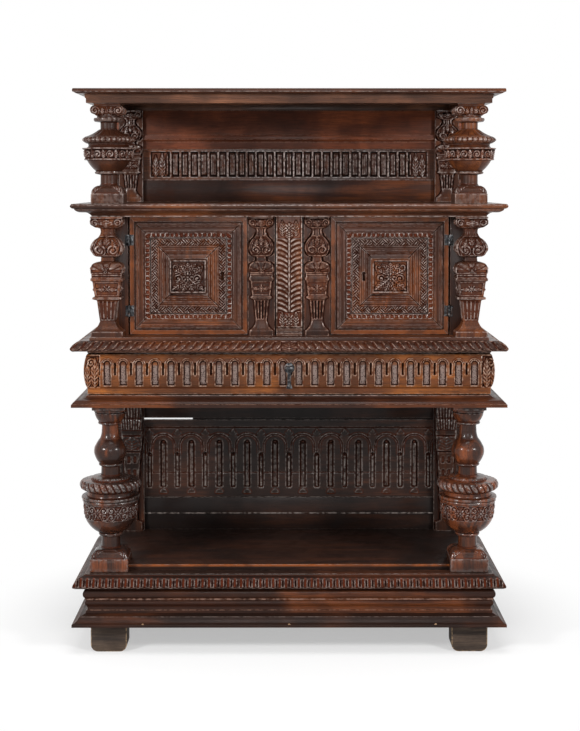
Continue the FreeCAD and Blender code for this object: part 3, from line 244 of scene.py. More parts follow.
def ranged(tree, value, low, high, least=0, most=1):
    """A value's stretch from low to high, spread from least to most and kept there."""
    inputs = {"Value": value, "From Min": low, "From Max": high, "To Min": least, "To Max": most}
    return add(tree, "MapRange", inputs, interpolation_type="SMOOTHSTEP").outputs["Result"]


def spread(tree, share, least, most):
    """A share from 0 to 1, spread from least to most."""
    return ranged(tree, share, 0, 1, least, most)


def tint(tree, share, first, second):
    """The first colour, turned into the second by a share."""
    return add(tree, "Mix", {0: share, 6: first, 7: second}, data_type="RGBA").outputs[2]


def speckle(tree, vector, scale, detail=2, distortion=0):
    inputs = {"Vector": vector, "Scale": scale, "Detail": detail, "Distortion": distortion}
    return add(tree, "TexNoise", inputs).outputs["Fac"]


def sockets(kind, names):
    return [(name, kind) for name in names]


def new_group(name, inputs, outputs):
    """A node group with its input and output nodes."""
    group = bpy.data.node_groups.new(name, "ShaderNodeTree")
    for label, kind in inputs:
        group.interface.new_socket(label, in_out="INPUT", socket_type="NodeSocket" + kind)
    for label, kind in outputs:
        group.interface.new_socket(label, in_out="OUTPUT", socket_type="NodeSocket" + kind)
    return group, group.nodes.new("NodeGroupInput").outputs, group.nodes.new("NodeGroupOutput").inputs


def wood_figure_group():
    """Broad figure, fine fibres and pores that run along the first axis of the vector."""
    outputs = sockets("Float", FIGURE_KINDS)
    group, given, out = new_group("wood_figure", [("Vector", "Vector")], outputs)
    for name, (stretch, detail, distortion, low, high) in FIGURE_KINDS.items():
        place = add(group, "Mapping", {"Vector": given["Vector"], "Scale": stretch}).outputs[0]
        noise = speckle(group, place, 1, detail, distortion)
        group.links.new(ranged(group, noise, low, high), out[name])
    return group


def old_finish_group():
    """Figured timber under old wax: smoky patches, crevices darkened with dirt and painted shade, edges
    rubbed and painted with a highlight, and dents.
    """
    inputs = sockets("Float", (*FIGURE_KINDS, "Board", *MARKS))
    inputs += [("Vector", "Vector")] + sockets("Color", COLOURS)
    outputs = [("Color", "Color")] + sockets("Float", ("Roughness", "Height", "Gloss", "Wax"))
    group, given, out = new_group("old_finish", inputs, outputs)
    vector = given["Vector"]
    hollow = given["Hollow"]
    punched = given["Punched"]

    # Colour, from the figure outwards
    smoke = ranged(group, speckle(group, vector, SMOKE_SCALE, 3, 0.5), 0.4, 0.6)
    cloud = ranged(group, speckle(group, vector, CLOUD_SCALE, 4, 0.6), 0.38, 0.66)
    lit = times(group, given["Bands"], spread(group, smoke, 0.9, 0.3))
    colour = tint(group, lit, given["Body"], given["Light"])
    darkened = (
        (given["Board"], BOARD_TONE),
        (given["Fibres"], FIBRE_TONE),
        (given["Pores"], PORE_TONE),
        (cloud, CLOUD_TONE),
        (smoke, SMOKE_TONE),
    )
    for share, tone in darkened:
        colour = tint(group, times(group, share, tone), colour, given["Dark"])
    chips = ranged(group, speckle(group, vector, CHIP_SCALE, 3), 0.36, 0.62)
    warm = times(group, given["Warm"], spread(group, cloud, 0.85, 0.35))
    colour = tint(group, warm, colour, WARM)
    # Crests and rubbed edges are painted lighter: partly real wear, partly a painted highlight for the
    # sheen of the wax
    rubbed = times(group, given["Crest"], chips)
    colour = tint(group, times(group, rubbed, RUBBED_AND_SHEEN_TONE), colour, given["Rubbed"])
    ember = times(group, given["Ember"], spread(group, chips, 0.4, 0.85))
    colour = tint(group, ember, colour, EMBER)
    pits = add(group, "TexVoronoi", {"Vector": vector, "Scale": PUNCH_SCALE}).outputs["Distance"]
    dots = ranged(group, pits, 0.12, 0.55)
    ground = tint(group, dots, PUNCHED_DARK, PUNCHED_LIGHT)
    colour = tint(group, times(group, punched, PUNCHED_TONE), colour, ground)
    # Hollows are painted red and then near black: partly wax and dust, partly painted shade in the recesses
    unburnt = minus(group, 1, times(group, given["Ember"], 0.75))
    hollow_dirt_and_shade = times(group, hollow, unburnt)
    colour = tint(group, ranged(group, hollow_dirt_and_shade, 0.1, 0.45, 0, 0.7), colour, RED_GROUND)
    colour = tint(group, ranged(group, hollow_dirt_and_shade, 0.35, 0.95, 0, 0.97), colour, CREVICE_DIRT_AND_SHADE)
    group.links.new(colour, out["Color"])

    # Gloss: hollows are matt and rubbed crests shine
    clear = minus(group, 1, ranged(group, hollow, 0, 0.8, 0, 0.9))
    for name, least, most in (("Gloss", 0.1, 0.42), ("Wax", 1, 3.4)):
        group.links.new(times(group, clear, spread(group, rubbed, least, most)), out[name])
    matt = plus(group, times(group, hollow, 0.3), spread(group, cloud, 0, 0.12))
    matt = plus(group, matt, times(group, punched, 0.12))
    group.links.new(matt, out["Roughness"])

    # Height: dents, open fibres and pores, and the dots of the punch
    dents = times(group, speckle(group, vector, DENT_SCALE, 3), 1.5)
    height = plus(group, dents, times(group, given["Fibres"], -0.28))
    height = minus(group, height, times(group, given["Pores"], 0.3))
    punches = times(group, dots, times(group, punched, 3))
    group.links.new(plus(group, height, punches), out["Height"])
    return group


def forging_group():
    """Hammered iron, dark in its dents, with rubbed high spots and a little rust."""
    outputs = [("Color", "Color")] + sockets("Float", ("Roughness", "Height"))
    group, given, out = new_group("forging", [("Vector", "Vector"), ("Crest", "Float")], outputs)
    vector = given["Vector"]
    hammer = speckle(group, vector, HAMMER_SCALE, 3, 0.4)
    scale = speckle(group, vector, IRON_GRAIN_SCALE)
    high_spots = ranged(group, hammer, 0.45, 0.7, 0, 0.45)
    rub = plus(group, high_spots, times(group, given["Crest"], 0.75))
    colour = tint(group, rub, IRON_DARK, IRON_RUBBED)
    rust = ranged(group, speckle(group, vector, RUST_SCALE, 4), 0.52, 0.7, 0, 0.6)
    group.links.new(tint(group, rust, colour, RUST), out["Color"])
    group.links.new(ranged(group, scale, 0.3, 0.7, 0.3, 0.55), out["Roughness"])
    group.links.new(plus(group, hammer, times(group, scale, 0.3)), out["Height"])
    return group


FIGURE = wood_figure_group()
OLD_FINISH = old_finish_group()
FORGING = forging_group()

# Materials

GRAINS = {"x": (0, 0, 0), "y": (0, 0, -math.pi / 2), "z": (0, math.pi / 2, 0)}
BOARD_SHIFT = (13.7, 7.9, 4.3)
made_timbers = {}


def mark(tree, name):
    return add(tree, "Attribute", attribute_name=name.lower()).outputs["Fac"]


def new_material(name):
    material = bpy.data.materials.new(name)
    material.use_nodes = True
    tree = material.node_tree
    return material, tree, tree.nodes["Principled BSDF"]


def finish_with(tree, shader, given, bump):
    """Feeds the shader the colour, roughness and height that a group gives."""
    strength, distance = bump
    tree.links.new(given["Color"], shader.inputs["Base Color"])
    height = {"Height": given["Height"], "Strength": strength, "Distance": distance}
    tree.links.new(add(tree, "Bump", height).outputs["Normal"], shader.inputs["Normal"])


def timber(name, grain):
    """A waxed timber whose fibres run along one axis."""
    if (name, grain) in made_timbers:
        return made_timbers[name, grain]
    colours, (least_roughness, wax) = TIMBERS[name]
    material, tree, shader = new_material(f"{name}_{grain}")
    board = mark(tree, "Board")
    shift = add(tree, "VectorMath", {0: BOARD_SHIFT, "Scale": board}, operation="SCALE").outputs[0]
    place = add(tree, "TexCoord").outputs["Object"]
    place = add(tree, "VectorMath", {0: place, 1: shift}, operation="ADD").outputs[0]
    along = add(tree, "Mapping", {"Vector": place, "Rotation": GRAINS[grain]}).outputs[0]
    figure = add(tree, "Group", {"Vector": along}, node_tree=FIGURE).outputs
    inputs = {"Vector": place, "Board": board}
    inputs.update((label, figure[label]) for label in FIGURE_KINDS)
    inputs.update((label, mark(tree, label)) for label in MARKS)
    inputs.update(zip(COLOURS, colours))
    given = add(tree, "Group", inputs, node_tree=OLD_FINISH).outputs
    finish_with(tree, shader, given, WOOD_BUMP)
    roughness = plus(tree, given["Roughness"], least_roughness)
    tree.links.new(roughness, shader.inputs["Roughness"])
    tree.links.new(given["Gloss"], shader.inputs["Specular IOR Level"])
    if wax:
        tree.links.new(times(tree, given["Wax"], wax), shader.inputs["Coat Weight"])
    shader.inputs["Coat Roughness"].default_value = COAT_ROUGHNESS
    made_timbers[name, grain] = material
    return material


def grains(name):
    return [timber(name, grain) for grain in GRAINS]


def wrought_iron():
    material, tree, shader = new_material("wrought_iron")
    inputs = {"Vector": add(tree, "TexCoord").outputs["Object"], "Crest": mark(tree, "Crest")}
    given = add(tree, "Group", inputs, node_tree=FORGING).outputs
    finish_with(tree, shader, given, IRON_BUMP)
    tree.links.new(given["Roughness"], shader.inputs["Roughness"])
    shader.inputs["Metallic"].default_value = 0.8
    return material


IRON = wrought_iron()

# Shaping

def outline(corners, fine, even=False):
    """The points along a line of (across, up, bend) corners, where a bend is the tangent of a quarter of
    the angle that its stretch turns through. Straight stretches are divided too if even is true."""
    points = [corners[0][:2]]
    for (across, up, *bend), (next_across, next_up, *_) in zip(corners, corners[1:]):
        start = np.array((across, up), float)
        chord = np.array((next_across, next_up), float) - start
        length = np.hypot(*chord)
        bend = bend[0] if bend else 0
        if bend and length:
            angle = 4 * math.atan(bend)
            radius = length / 2 / math.sin(angle / 2)
            left = np.array((-chord[1], chord[0])) / length
            centre = start + chord / 2 + left * radius * math.cos(angle / 2)
            first = math.atan2(*(start - centre)[::-1])
            steps = max(3, math.ceil(abs(radius * angle) / fine))
            for step in range(1, steps + 1):
                turn = first + angle * step / steps
                points.append(tuple(centre + abs(radius) * np.array((math.cos(turn), math.sin(turn)))))
        else:
            steps = max(1, math.ceil(length / fine)) if even else 1
            points += [tuple(start + chord * step / steps) for step in range(1, steps + 1)]
    return np.array(points, float)


def scaled(shares, width, height):
    """The corners of an outline that is given in shares of a width and a height."""
    return [(width * out, height * up, *bend) for out, up, *bend in shares]


def set_points(bm, places):
    for vert, place in zip(bm.verts, places):
        vert.co = place


def get_points(bm):
    return np.array([vert.co[:] for vert in bm.verts], float).reshape(-1, 3)


def boundary(bm):
    return [edge for edge in bm.edges if edge.is_boundary]


def extruded(made):
    """The new points that an extrusion made."""
    return [part for part in made["geom"] if isinstance(part, bmesh.types.BMVert)]


def skin(across, rows, place, caps=True):
    """A grid of faces moved to place(u, row), where u runs from 0 to 1 along each row, with its meeting
    edges joined and its open ends filled."""
    bm = bmesh.new()
    bmesh.ops.create_grid(bm, x_segments=across, y_segments=rows - 1, size=0.5)
    flat = get_points(bm) + 0.5
    row = np.rint(flat[:, 1] * (rows - 1)).astype(int)
    set_points(bm, place(flat[:, 0], row))
    bmesh.ops.remove_doubles(bm, verts=bm.verts, dist=JOIN)
    if caps and boundary(bm):
        bmesh.ops.holes_fill(bm, edges=boundary(bm), sides=0)
    return bm


def relief(low, high, place, step=CARVING_STEP):
    """A board between two corners whose front is place(x, z) and whose back is flat."""
    across = math.ceil((high.x - low.x) / step)
    up = math.ceil((high.z - low.z) / step)
    bm = bmesh.new()
    bmesh.ops.create_grid(bm, x_segments=across, y_segments=up, size=0.5)
    flat = get_points(bm) + 0.5
    x = low.x + flat[:, 0] * (high.x - low.x)
    z = low.z + flat[:, 1] * (high.z - low.z)
    set_points(bm, place(x, z))
    for vert in extruded(bmesh.ops.extrude_edge_only(bm, edges=boundary(bm))):
        vert.co.y = high.y
    made = bmesh.ops.holes_fill(bm, edges=boundary(bm), sides=0)
    bmesh.ops.inset_individual(bm, faces=made["faces"], thickness=MARGIN, use_even_offset=True)
    return bm


def bevelled(bm, edges, width, segments):
    """Rounds some edges, and gives the faces of the rounds."""
    made = bmesh.ops.bevel(
        bm,
        geom=edges,
        offset=width,
        segments=segments,
        profile=0.5,
        affect="EDGES",
        material=-1,
        clamp_overlap=True,
    )
    return made["faces"]


def block(low, high, edge=EDGE_WEAR, segments=2):
    """A box with rounded edges, and margins divided off round each of its broad faces."""
    bm = bmesh.new()
    bmesh.ops.create_cube(bm, size=1)
    low = Vector(low)
    size = Vector(high) - low
    for vert in bm.verts:
        vert.co = low + (vert.co + Vector((0.5, 0.5, 0.5))) * size
    bevelled(bm, bm.edges[:], edge, segments)
    for margin in (MARGIN, LONGEST_FINE_EDGE + 1):
        least = BROAD_SHARE * margin
        broad = [face for face in bm.faces if min(side.calc_length() for side in face.edges) > least]
        bmesh.ops.inset_individual(bm, faces=broad, thickness=margin, use_even_offset=True)
    return bm


def turned(points, sides):
    """A turned solid round the Z axis, from its (radius, height) points."""
    bm = bmesh.new()
    verts = [bm.verts.new((radius, 0, height)) for radius, height in points]
    edges = [bm.edges.new(pair) for pair in zip(verts, verts[1:])]
    bmesh.ops.spin(
        bm, geom=verts + edges, cent=(0, 0, 0), axis=UP, angle=math.tau, steps=sides, use_merge=True
    )
    bmesh.ops.remove_doubles(bm, verts=bm.verts, dist=JOIN)
    bmesh.ops.holes_fill(bm, edges=boundary(bm), sides=0)
    return bm


def joined(parts):
    """Several shapes as one, each still a closed shell of its own."""
    whole = bmesh.new()
    for part in parts:
        mesh = bpy.data.meshes.new("part")
        part.to_mesh(mesh)
        part.free()
        whole.from_mesh(mesh)
        bpy.data.meshes.remove(mesh)
    return whole


def from_node(node):
    """A copy of a node's mesh, merged and with its flat faces whole, in millimetres."""
    bm = bmesh.new()
    bm.from_mesh(frame["nodes"][node].data)
    bmesh.ops.scale(bm, vec=(1 / MM,) * 3, verts=bm.verts)
    bmesh.ops.remove_doubles(bm, verts=bm.verts, dist=JOIN)
    bmesh.ops.dissolve_limit(bm, angle_limit=FLAT_ANGLE, verts=bm.verts, edges=bm.edges)
    return bm


def ease(bm, width=FINE_EDGE_WEAR, segments=2):
    """Wears the sharp edges of a shape round, and marks them as rubbed, painted lighter as wear and as a
    painted highlight.
    """
    worn = bm.faces.layers.float.new("crest")
    sharp = [edge for edge in bm.edges if edge.is_manifold and edge.calc_face_angle(0) > SHARP_ANGLE]
    for face in bevelled(bm, sharp, width, segments):
        face[worn] = 1
    return bm


BOARD_STEP = 0.618034
board_count = 0


def next_board():
    """A different number from 0 to 1 for each board, the same in every run."""
    global board_count
    board_count += 1
    return board_count * BOARD_STEP % 1


def shells(bm):
    """Each separate shell: the corners of its box and its faces, from the lowest corner on. The order has
    to be the same in every run, which the order of a set isn't."""
    left = set(bm.faces)
    found = []
    while left:
        shell = [left.pop()]
        for face in shell:
            for edge in face.edges:
                near = [other for other in edge.link_faces if other in left]
                left.difference_update(near)
                shell += near
        points = np.array([vert.co[:] for face in shell for vert in face.verts])
        found.append((points.min(0), points.max(0), shell))
    return sorted(found, key=lambda shell: (*shell[0].round(2), *shell[1].round(2)))


def lay_grain(bm, grain=None):
    """Gives each shell its own board number and the timber whose grain runs along it."""
    board = bm.faces.layers.float.new("board")
    for low, high, shell in shells(bm):
        number = next_board()
        axis = "xyz".find(grain) if grain else int(np.argmax(high - low))
        for face in shell:
            face[board] = number
            face.material_index = axis


def near_average(places, pairs):
    """Each point's place, averaged with its neighbours' a number of times."""
    count = np.bincount(pairs.ravel(), minlength=len(places))[:, None]
    average = places
    for _ in range(AVERAGING_ROUNDS):
        total = np.zeros_like(average)
        for axis in range(3):
            for here, there in (pairs.T, pairs.T[::-1]):
                near = average[there, axis]
                total[:, axis] += np.bincount(here, weights=near, minlength=len(places))
        average = np.where(count > 0, 0.5 * average + 0.5 * total / np.maximum(count, 1), average)
    return average


def mesh_points(mesh, kind):
    values = np.zeros(len(mesh.vertices) * 3)
    mesh.vertices.foreach_get(kind, values)
    return values.reshape(-1, 3)


def mark_points(mesh, name, values):
    layer = mesh.attributes.new(name, "FLOAT", "POINT")
    layer.data.foreach_set("value", np.clip(values, 0, 1).astype(np.float32))


def mark_carving(mesh):
    """Marks the hollows of a finely divided mesh, where wax and dust lie and shade is painted, and its
    rubbed crests, which are painted with a highlight.
    """
    places = mesh_points(mesh, "co") / MM
    normals = mesh_points(mesh, "normal")
    pairs = np.zeros(len(mesh.edges) * 2, int)
    mesh.edges.foreach_get("vertices", pairs)
    pairs = pairs.reshape(-1, 2)
    lengths = np.linalg.norm(places[pairs[:, 0]] - places[pairs[:, 1]], axis=1)
    average = near_average(places, pairs[lengths < LONGEST_FINE_EDGE])
    inward = ((average - places) * normals).sum(1)
    mark_points(mesh, "hollow", (inward - LEAST_HOLLOW) / HOLLOW_DEPTH)
    mark_points(mesh, "crest", (-inward - LEAST_CREST) / CREST_HEIGHT)


def keep(bm, name, nodes, finishes, marks=None, carved=False):
    """Makes a piece that stands for some nodes and moves with their body. A mark is a value for each
    point, or a function that gives them for the points' places in millimetres."""
    bmesh.ops.recalc_face_normals(bm, faces=bm.faces)
    bmesh.ops.scale(bm, vec=(MM,) * 3, verts=bm.verts)
    mesh = bpy.data.meshes.new(name)
    bm.to_mesh(mesh)
    bm.free()
    for finish in finishes:
        mesh.materials.append(finish)
    mesh.shade_smooth()
    mesh.set_sharp_from_angle(angle=SMOOTH_ANGLE)
    if carved:
        mark_carving(mesh)
    for label, values in (marks or {}).items():
        mark_points(mesh, label, values(mesh_points(mesh, "co") / MM) if callable(values) else values)
    piece = bpy.data.objects.new(name, mesh)
    bpy.context.scene.collection.objects.link(piece)
    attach(piece, frame["nodes"][nodes[0]]["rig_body"])
    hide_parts(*nodes)


def keep_timber(bm, node, ending, kind, grain=None, carved=True, marks=None):
    """Makes a timber piece that stands for a node, named for the node and the work on it."""
    lay_grain(bm, grain)
    keep(bm, node + ending, [node], grains(kind), marks, carved)


# Carving motifs: heights from 0 to 1 over points given across and up, in millimetres

def rise(value, low, high):
    """0 below low, 1 above high, and a smooth rise between them."""
    share = np.clip((value - low) / (high - low), 0, 1)
    return share * share * (3 - 2 * share)


def ridge(distance, width):
    """A sharp ridge, 1 in the middle and falling away on both sides."""
    return np.exp(-((distance / width) ** 2))


def hump(distance, radius):
    """A round hump, 1 in the middle and 0 from the radius outwards."""
    return np.sqrt(np.clip(1 - (distance / radius) ** 2, 0, 1))


def within(value, low, high, soft=1.0):
    """1 between low and high and 0 outside, with soft edges."""
    return rise(value, low - soft / 2, low + soft / 2) * (1 - rise(value, high - soft / 2, high + soft / 2))


def leaf(across, up, width, length, lobes=4):
    """A carved leaf that stands on its stalk at the origin and points up."""
    share = np.clip(up / length, 0, 1)
    inside = (up > 0) & (up < length)
    fullness = np.sin(math.pi * share**0.75) ** 0.7
    edge = np.maximum(width / 2 * fullness * (0.8 + 0.2 * np.abs(np.cos(lobes * math.pi * share))), 0.01)
    out = np.abs(across) / edge
    body = hump(out, 1)
    veins = 0.5 + 0.5 * np.cos(math.tau * (lobes * 1.5 * share - 1.1 * np.minimum(out, 1.5)))
    return inside * body * (0.5 + 0.3 * veins + 0.35 * ridge(across, 0.07 * width))


def repeated(along, pitch):
    """How far each point is from the middle of its place, in a row of places that starts at 0."""
    return (along / pitch) % 1 * pitch - pitch / 2


def highest(*motifs):
    """Several motifs as one, the highest at each point."""
    return np.maximum.reduce(motifs)


def sunk_ground(motif, height, depth):
    """A motif of a height, standing on a ground of a depth."""
    return height * np.clip(motif, 0, 1) - depth


def turn(across, up, degrees):
    """The same points, seen from axes that are turned anticlockwise."""
    angle = math.radians(degrees)
    return (
        across * math.cos(angle) + up * math.sin(angle),
        up * math.cos(angle) - across * math.sin(angle),
    )


def scroll(across, up, radius, turns=1.6, hand=1):
    """A rolled volute with a round eye."""
    far = np.hypot(across, up)
    angle = np.arctan2(up, across) * hand / math.tau
    coil = 0.5 + 0.5 * np.cos(math.tau * (far / radius * turns - angle))
    body = (far < radius) * (0.3 + 0.7 * coil) * hump(far, radius) ** 0.35
    return np.maximum(body, 1.05 * hump(far, radius * 0.22))


def rosette(across, up, radius, petals=8):
    """A flower with a round heart."""
    far = np.hypot(across, up)
    angle = np.arctan2(up, across)
    wave = np.abs(np.cos(petals * angle / 2))
    petal = hump(far, radius * (0.72 + 0.28 * wave)) * (0.45 + 0.55 * wave)
    return np.maximum(petal * rise(far, radius * 0.2, radius * 0.4), hump(far, radius * 0.28))


def star(across, up, radius, points=8):
    """A flower of sharp rays."""
    far = np.hypot(across, up)
    angle = np.arctan2(up, across)
    ray = np.abs(np.cos(points * angle / 2)) ** 2
    return np.clip(1 - far / (radius * (0.3 + 0.7 * ray)), 0, 1)


def flute(across, up, width, height):
    """A flute with an arched head, standing on the origin."""
    radius = width / 2
    far = np.where(up > height - radius, np.hypot(across, up - height + radius), np.abs(across))
    return (1 - rise(far, radius - 1.4, radius)) * rise(up, 0, 1.6)


# Mouldings that go round the front and the two sides. An outline's points are shares of its reach and of
# its height, with the bend of the stretch that follows.

BASE_EDGE = [
    (1, 0), (1, 0.22, 0.3), (0.97, 0.27), (0.86, 0.34, -0.12), (0.62, 0.84), (0.5, 0.86), (0.34, 1),
]
PLINTH_EDGE = [
    (0.64, 0), (0.64, 0.1), (0.5, 0.12, -0.2), (0.56, 0.27), (0.6, 0.29, 0.5), (0.6, 0.48),
    (0.74, 0.5), (0.78, 0.54), (0.7, 0.56, 0.55), (0.6, 0.92), (0.2, 0.93), (0.2, 1),
]
NULLING_EDGE = [
    (0.85, 0), (0.98, 0.1, 0.2), (1, 0.25, 0.12), (0.7, 0.78), (0.42, 0.9), (0.35, 1),
]
WAIST_EDGE = [
    (1, 0), (1, 0.28), (0.95, 0.32, 0.3), (0.6, 0.68, -0.3), (0.17, 1),
]
DECK_EDGE = [
    (0.16, 0), (0.16, 0.16), (0.82, 0.19, 0.35), (1, 0.45, 0.3), (0.4, 1),
]
SHELF_EDGE = [
    (-0.1, 0), (-0.1, 0.08, -0.25), (0.34, 0.36, 0.25), (0.88, 0.56), (0.88, 0.62), (1, 0.66, 0.3),
    (1.13, 0.86, 0.05), (1.04, 1),
]
TOP_EDGE = [
    (0.7, 0, 0.2), (0.9, 0.3), (1, 0.34, 0.15), (1, 0.86, 0.2), (0.95, 1),
]
MOULDING_INSIDE = 60


def edge_normals(points):
    """The outward direction at each point of a moulded face, from its bottom up."""
    along = np.gradient(points, axis=0)
    outward = np.stack([along[:, 1], -along[:, 0]], 1)
    return outward / np.maximum(np.hypot(*outward.T), 1e-6)[:, None]


def moulded_runs(node, shares, inside, carve=None, step=LENGTH_STEP):
    """The front length and both side lengths of a moulding, mitred at the front corners. carve(along,
    across, at_front) gives how far each point of the moulded face is raised, along being measured from
    the middle of the front or from the front corner, and across from the foot of the moulded face."""
    low, high, _, height = node_sizes(node)
    reach = high.x - SIDE
    face = outline(scaled(shares, reach, height), MOULDING_STEP, carve is not None)
    foot = [(-inside, 0), (face[0][0] - MARGIN, 0)]
    head = [(face[-1][0] - MARGIN, height), (-inside, height), (-inside, 0)]
    loop = np.vstack([foot, face, head])
    on_face = slice(len(foot), len(foot) + len(face))
    outward = np.zeros((len(loop), 2))
    outward[on_face] = edge_normals(face)
    across = np.zeros(len(loop))
    across[on_face] = np.concatenate([[0], np.cumsum(np.hypot(*np.diff(face, axis=0).T))])
    runs = []
    for side in (0, 1, -1):
        length = BACK + FRONT + reach if side else 2 * (SIDE + reach)

        def place(u, row):
            out, up = loop[row].T
            if side:
                first = np.full_like(out, BACK)
                last = -(FRONT + out) + SEAM
            else:
                first = -(SIDE + out) + SEAM
                last = SIDE + out - SEAM
            along = first + (last - first) * u
            if carve:
                from_start = along + FRONT if side else along
                raised = carve(from_start, across[row], not side)
                out = out + outward[row, 0] * raised
                up = up + outward[row, 1] * raised
            if side:
                return np.stack([(SIDE + out) * side, along, low.z + up], 1)
            return np.stack([along, -(FRONT + out), low.z + up], 1)

        runs.append(skin(math.ceil(length / step), len(loop), place))
    return joined(runs)


def mark_outer_edges(bm):
    """Marks the faces beside the sharp outer edges of a moulding as rubbed, painted lighter as wear and as
    a painted highlight.
    """
    worn = bm.faces.layers.float.new("crest")
    for edge in bm.edges:
        if edge.is_manifold and edge.calc_face_angle_signed(0) > SHARP_ANGLE:
            narrow = min(edge.link_faces, key=lambda face: face.calc_area())
            if narrow.calc_area() < edge.calc_length() * 3 * MOULDING_STEP:
                narrow[worn] = 0.7


def base_moulding():
    bm = moulded_runs("base_moulding", BASE_EDGE, MOULDING_INSIDE)
    mark_outer_edges(bm)
    keep_timber(bm, "base_moulding", "_lengths", "plinth_walnut", carved=False)


def plinth_rails():
    """The moulded front and sides of the plinth, and its plain back rail."""
    low, high = node_box("plinth_rails")
    inner = SIDE - PLINTH_INSIDE
    rails = moulded_runs("plinth_rails", PLINTH_EDGE, PLINTH_INSIDE)
    mark_outer_edges(rails)
    back_rail = block((-inner, BACK - BACK_RAIL, low.z), (inner, BACK, high.z), FINE_EDGE_WEAR)
    keep_timber(joined([rails, back_rail]), "plinth_rails", "_lengths", "red_walnut", carved=False)


NULL_PITCH = 17.7
NULL_FOOT = 8
NULL_HEAD = 34
# Half of the slot in a null's middle, and half of the whole null
NULL_SLOT = (1.6, 2.8)
NULL_LOOP = (5.2, 6.4)


def nulls(along, across, at_front):
    """Rows of little nulls: a ridged loop round a dark slot, and a red sunk ground between the loops."""
    place = np.abs(repeated(along + NULL_PITCH / 2, NULL_PITCH))
    ground = rise(place, *NULL_LOOP) * within(across, NULL_FOOT, NULL_HEAD, 2)
    slot = (1 - rise(place, *NULL_SLOT)) * within(across, NULL_FOOT + 4, NULL_HEAD - 3, 2)
    return -3 * ground - 2.6 * slot


def along_moulding(points):
    """How far along a moulding each point is, from the middle of the front or from the front corner."""
    x, y, _ = points.T
    return np.where(np.abs(x) - SIDE > -y - FRONT, y + FRONT, x)


def nulled_moulding():
    node = "nulled_moulding"
    level = node_box(node)[0].z
    bm = moulded_runs(node, NULLING_EDGE, MOULDING_INSIDE, nulls, CARVING_STEP)

    def embers(points):
        place = np.abs(repeated(along_moulding(points) + NULL_PITCH / 2, NULL_PITCH))
        return 0.7 * rise(place, 5.4, 6.8) * within(points[:, 2] - level, 7, 29, 3)

    keep_timber(bm, node, "_lengths", "plinth_walnut", marks={"ember": embers})


GADROON_PITCH = 23.6
GADROON_FOOT = 36
GADROON_HEAD = 84
GADROON_DEPTH = 4.6
GADROON_SLANT = 0.62
# Half the width of the leaf in the middle of the front, and its height
MIDDLE_LEAF = (22, 48)


def gadroons(along, across, at_front):
    """Slanting leaves that run from the middle of the front to its ends, and a leaf in the middle."""
    middle, leaf_height = MIDDLE_LEAF
    away = np.abs(along) - middle if at_front else along
    up = across - GADROON_FOOT
    share = ((away + GADROON_SLANT * up + 5 * np.sin(up / 15)) / GADROON_PITCH) % 1
    lobe = np.clip(np.sin(math.pi * np.clip(share / 0.8, 0, 1)), 0, 1) ** 0.55
    rib = ridge(share - 0.14, 0.07)
    tall = within(across, GADROON_FOOT, GADROON_HEAD, 4)
    leaves = tall * (3.4 * lobe + 1.17 * rib - GADROON_DEPTH) * rise(away, 0, 2 if at_front else 0.1)
    if at_front:
        fan = leaf(along, up, 2 * middle, leaf_height, 4)
        leaves = leaves + tall * (4.4 * fan - GADROON_DEPTH) * (1 - rise(away, 0, 2))
    return leaves


def deck_moulding():
    node = "deck_moulding"
    inside = SIDE - node_box("case_side_right")[0].x + 20
    bm = moulded_runs(node, DECK_EDGE, inside, gadroons, CARVING_STEP)
    keep_timber(bm, node, "_lengths", "red_walnut")


def moulded_board(node, shares, kind):
    """A board whose front and sides are moulded: a moulded rim round a flat middle."""
    low, high, _, height = node_sizes(node)
    face = outline(scaled(shares, high.x - SIDE, height), MOULDING_STEP)

    def place(u, row):
        out, up = face[row].T
        corner = np.rint(u * 4).astype(int) % 4
        x = np.where(corner < 2, -(SIDE + out), SIDE + out)
        y = np.where((corner == 0) | (corner == 3), BACK, -(FRONT + out))
        return np.stack([x, y, low.z + up], 1)

    bm = skin(4, len(face), place)
    mark_outer_edges(bm)
    keep_timber(bm, node, "_moulded", kind, grain="x", carved=False)


# Turned posts

# Shares of the greatest radius and of the height, and the bend of the stretch that follows
LOWER_TURNING = [
    (0.4, 0.115), (0.4, 0.125, -0.2), (0.31, 0.136), (0.3, 0.2), (0.38, 0.204, 0.4), (0.385, 0.219),
    (0.385, 0.222, 0.2), (0.83, 0.3075, 0.04), (0.85, 0.313, 0.04), (0.9, 0.407),
    (0.905, 0.411, 0.45), (0.92, 0.424), (0.88, 0.426), (0.93, 0.428, 0.45), (0.94, 0.444),
    (0.78, 0.446, -0.2), (0.76, 0.474), (0.82, 0.478, 0.12), (0.965, 0.492, 0.2), (1, 0.51, 0.2),
    (0.965, 0.53, 0.3), (0.9, 0.538), (0.64, 0.541), (0.625, 0.544, 0.35), (0.6, 0.557),
    (0.4, 0.56, -0.2), (0.31, 0.57), (0.3, 0.62), (0.37, 0.625, 0.4), (0.375, 0.636),
    (0.37, 0.638, 0.1), (0.512, 0.684, 0.13), (0.535, 0.717, 0.14), (0.475, 0.75, 0.08),
    (0.345, 0.786, -0.12), (0.285, 0.836, -0.03), (0.275, 0.871), (0.385, 0.875, 0.4),
    (0.39, 0.886), (0.375, 0.888, 0.14), (0.515, 0.943), (0.5, 0.945), (0.5, 0.948),
    (0.54, 0.95, 0.1), (0.555, 0.968),
]
